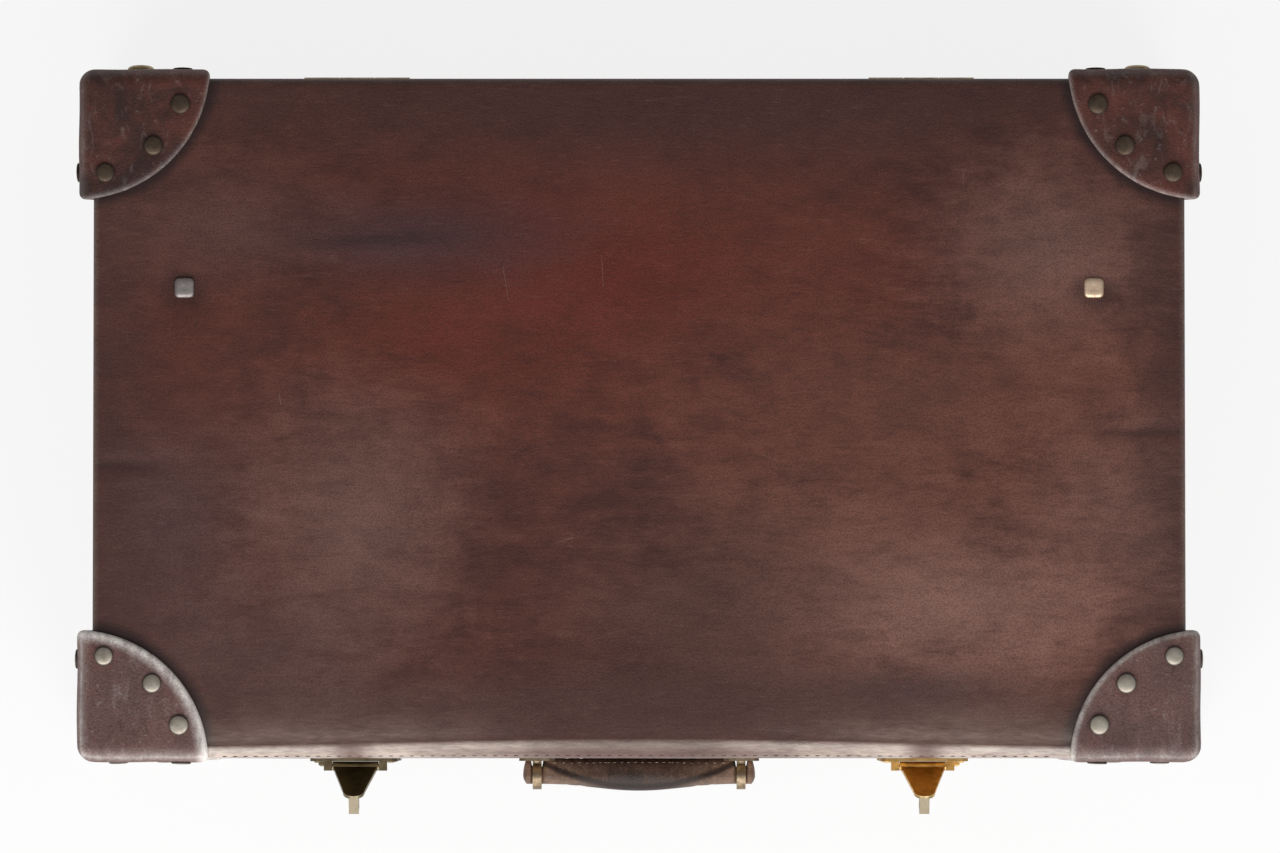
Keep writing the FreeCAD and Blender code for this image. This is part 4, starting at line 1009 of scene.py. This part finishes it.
def rim_rows(height):
    """Stitch places and ways along the front, the sides and the back, clear of the hinges."""
    along_x = np.arange(-HALF_X + CORNER_INSET, HALF_X - CORNER_INSET, STITCH_PITCH)
    along_y = np.arange(FRONT_Y + CORNER_INSET, BACK_Y - CORNER_INSET, STITCH_PITCH)
    behind = along_x[(np.abs(along_x) < HINGE_SPAN[0]) | (np.abs(along_x) > HINGE_SPAN[1])]
    sides = [(0, along_x, FRONT_Y), (0, behind, BACK_Y), (1, along_y, -HALF_X), (1, along_y, HALF_X)]
    places, ways = [], []
    for axis, run, wall in sides:
        place, way = np.full((len(run), 3), wall), np.zeros((len(run), 3))
        place[:, axis], place[:, 2] = run, height
        way[:, axis], way[:, 2] = 1.0, STITCH_SLANT
        places.append(place)
        ways.append(way)
    return np.concatenate(places), np.concatenate(ways)


def edge_row():
    """Stitch places and ways along the lid's front edge, two thirds of the way round its curve."""
    x = np.arange(-HALF_X + CAP_REACH, HALF_X - CAP_REACH + 1, STITCH_PITCH)
    radius = front_radius(LID_FRONT, x)
    y = FRONT_Y + radius * (1 - np.sin(EDGE_ROW_TURN))
    z = LID_TOP - radius * (1 - np.cos(EDGE_ROW_TURN))
    return np.column_stack([x, y, z]), np.tile([1.0, EDGE_SLANT, 0], (len(x), 1))


# %% Thread of the rims and of the handle
lid_rows = [np.concatenate(pair) for pair in zip(rim_rows(LID_RIM + RIM_INSET), edge_row())]
make_piece("lid_thread", stitches(*lid_rows), THREAD, "lid")
base_rows = stitches(*rim_rows(BASE_RIM - RIM_INSET))
make_piece("base_thread", base_rows, THREAD, "base")

SEAM_REACH, SEAM_PITCH = 50.0, 4.0
LEAN = 0.80  # of the handle's row, from the top of the oval, in radians
arm_x = np.arange(-SEAM_REACH, SEAM_REACH + 0.5, SEAM_PITCH)
centre, upright, along = handle_frame(arm_x)
tall, _, back = handle_half_sizes(arm_x)
seam = centre + upright * (tall * np.cos(LEAN) ** OVAL)[:, None] + np.outer(back * np.sin(LEAN), [0, 1, 0])
seam_rows = stitches(seam, along, length=2.3, thick=0.36)
make_piece("handle_thread", seam_rows, PALE_THREAD, "handle")

# %% [markdown]
# ## Floor, light and camera
# The picture looks almost straight down, from a little in front of the case, so that a narrow strip
# of its front shows. A long lens from far off keeps the sides of the lid parallel. Leather turns
# bright where it is seen edge on and mirrors the pale floor, so the floor has to be there for the
# strip to shine. The floor is nearly white to the camera and to reflections, and still takes a shadow.

# %% Floor
FLOOR_REACH, FLOOR_GLOW = 40.0, 0.84
floor_corners = FLOOR_REACH * np.array([(-1, -1, 0), (1, -1, 0), (1, 1, 0), (-1, 1, 0)])
floor_mesh = bpy.data.meshes.new("floor")
floor_mesh.from_pydata(floor_corners.tolist(), [], [(0, 1, 2, 3)])
floor = bpy.data.objects.new("floor", floor_mesh)
bpy.context.scene.collection.objects.link(floor)


def pale_floor():
    """White paper that also glows for the camera and for mirrors, for most of its look."""
    finish = Finish("pale_floor", Base_Color=(0.90, 0.90, 0.90, 1), Roughness=0.9, Specular_IOR_Level=0.0)
    rays = ("Is Camera Ray", "Is Glossy Ray", "Is Transmission Ray")
    seen = strongest([finish.node("ShaderNodeLightPath", out=ray) for ray in rays])
    glow = finish.node("ShaderNodeEmission", None, {"Color": (1, 1, 1, 1), "Strength": 1.0})
    shaded = Wire(finish, finish.shader.outputs[0])
    both = finish.node("ShaderNodeMixShader", None, {0: seen * FLOOR_GLOW, 1: shaded, 2: glow})
    finish.tree.links.new(both.socket, finish.tree.nodes["Material Output"].inputs["Surface"])
    return finish.material


floor_mesh.materials.append(pale_floor())
print("floor:", 2 * FLOOR_REACH, "m across")

# %% Light
WORLD_LIGHT = 0.30
LIGHT_WIDE, LIGHT_TALL, LIGHT_POWER = 1.2, 2.2, 34
world = bpy.data.worlds.new("studio")
bpy.context.scene.world = world
world.use_nodes = True
background = world.node_tree.nodes["Background"].inputs
background["Color"].default_value = (1.0, 1.0, 1.0, 1)
background["Strength"].default_value = WORLD_LIGHT


def soft_light(name, place, target, wide, tall, power):
    """A flat lamp at a place in metres, facing a target."""
    lamp = bpy.data.lights.new(name, "AREA")
    lamp.shape, lamp.size, lamp.size_y, lamp.energy = "RECTANGLE", wide, tall, power
    stand = bpy.data.objects.new(name, lamp)
    back = np.subtract(place, target)
    stand.location = place
    tilt, turn = math.atan2(math.hypot(back[0], back[1]), back[2]), math.atan2(back[0], -back[1])
    stand.rotation_euler = (tilt, 0, turn)
    stand.visible_camera = False
    bpy.context.scene.collection.objects.link(stand)
    return stand


for name, sign in (("left_panel", -1), ("right_panel", 1)):
    soft_light(name, (sign * 0.80, -1.7, 1.25), (sign * 0.5, 0, 0.1), LIGHT_WIDE, LIGHT_TALL, LIGHT_POWER)
print("lights:", len(bpy.data.lights))

# %% Camera
VIEW_DISTANCE = 4.0
VIEW_TILT = math.radians(2.2)
PIXEL = 0.5580 * MM  # of the lid's top, in a picture 1280 wide
PICTURE_WIDTH = 1280
AIM = np.array([0.0005, MIDDLE_Y * MM - 0.0050, LID_TOP * MM])
lens = bpy.data.cameras.new("camera")
lens.sensor_width = 36.0
lens.lens = lens.sensor_width * VIEW_DISTANCE / (PICTURE_WIDTH * PIXEL)
lens.clip_end = 100.0
camera = bpy.data.objects.new("camera", lens)
camera.location = AIM + VIEW_DISTANCE * np.array([0, -math.sin(VIEW_TILT), math.cos(VIEW_TILT)])
camera.rotation_euler = (VIEW_TILT, 0, 0)
bpy.context.scene.collection.objects.link(camera)
bpy.context.scene.camera = camera
bpy.context.scene.view_settings.view_transform = "Standard"
print(f"camera: {lens.lens:.0f} mm at {VIEW_DISTANCE} m")
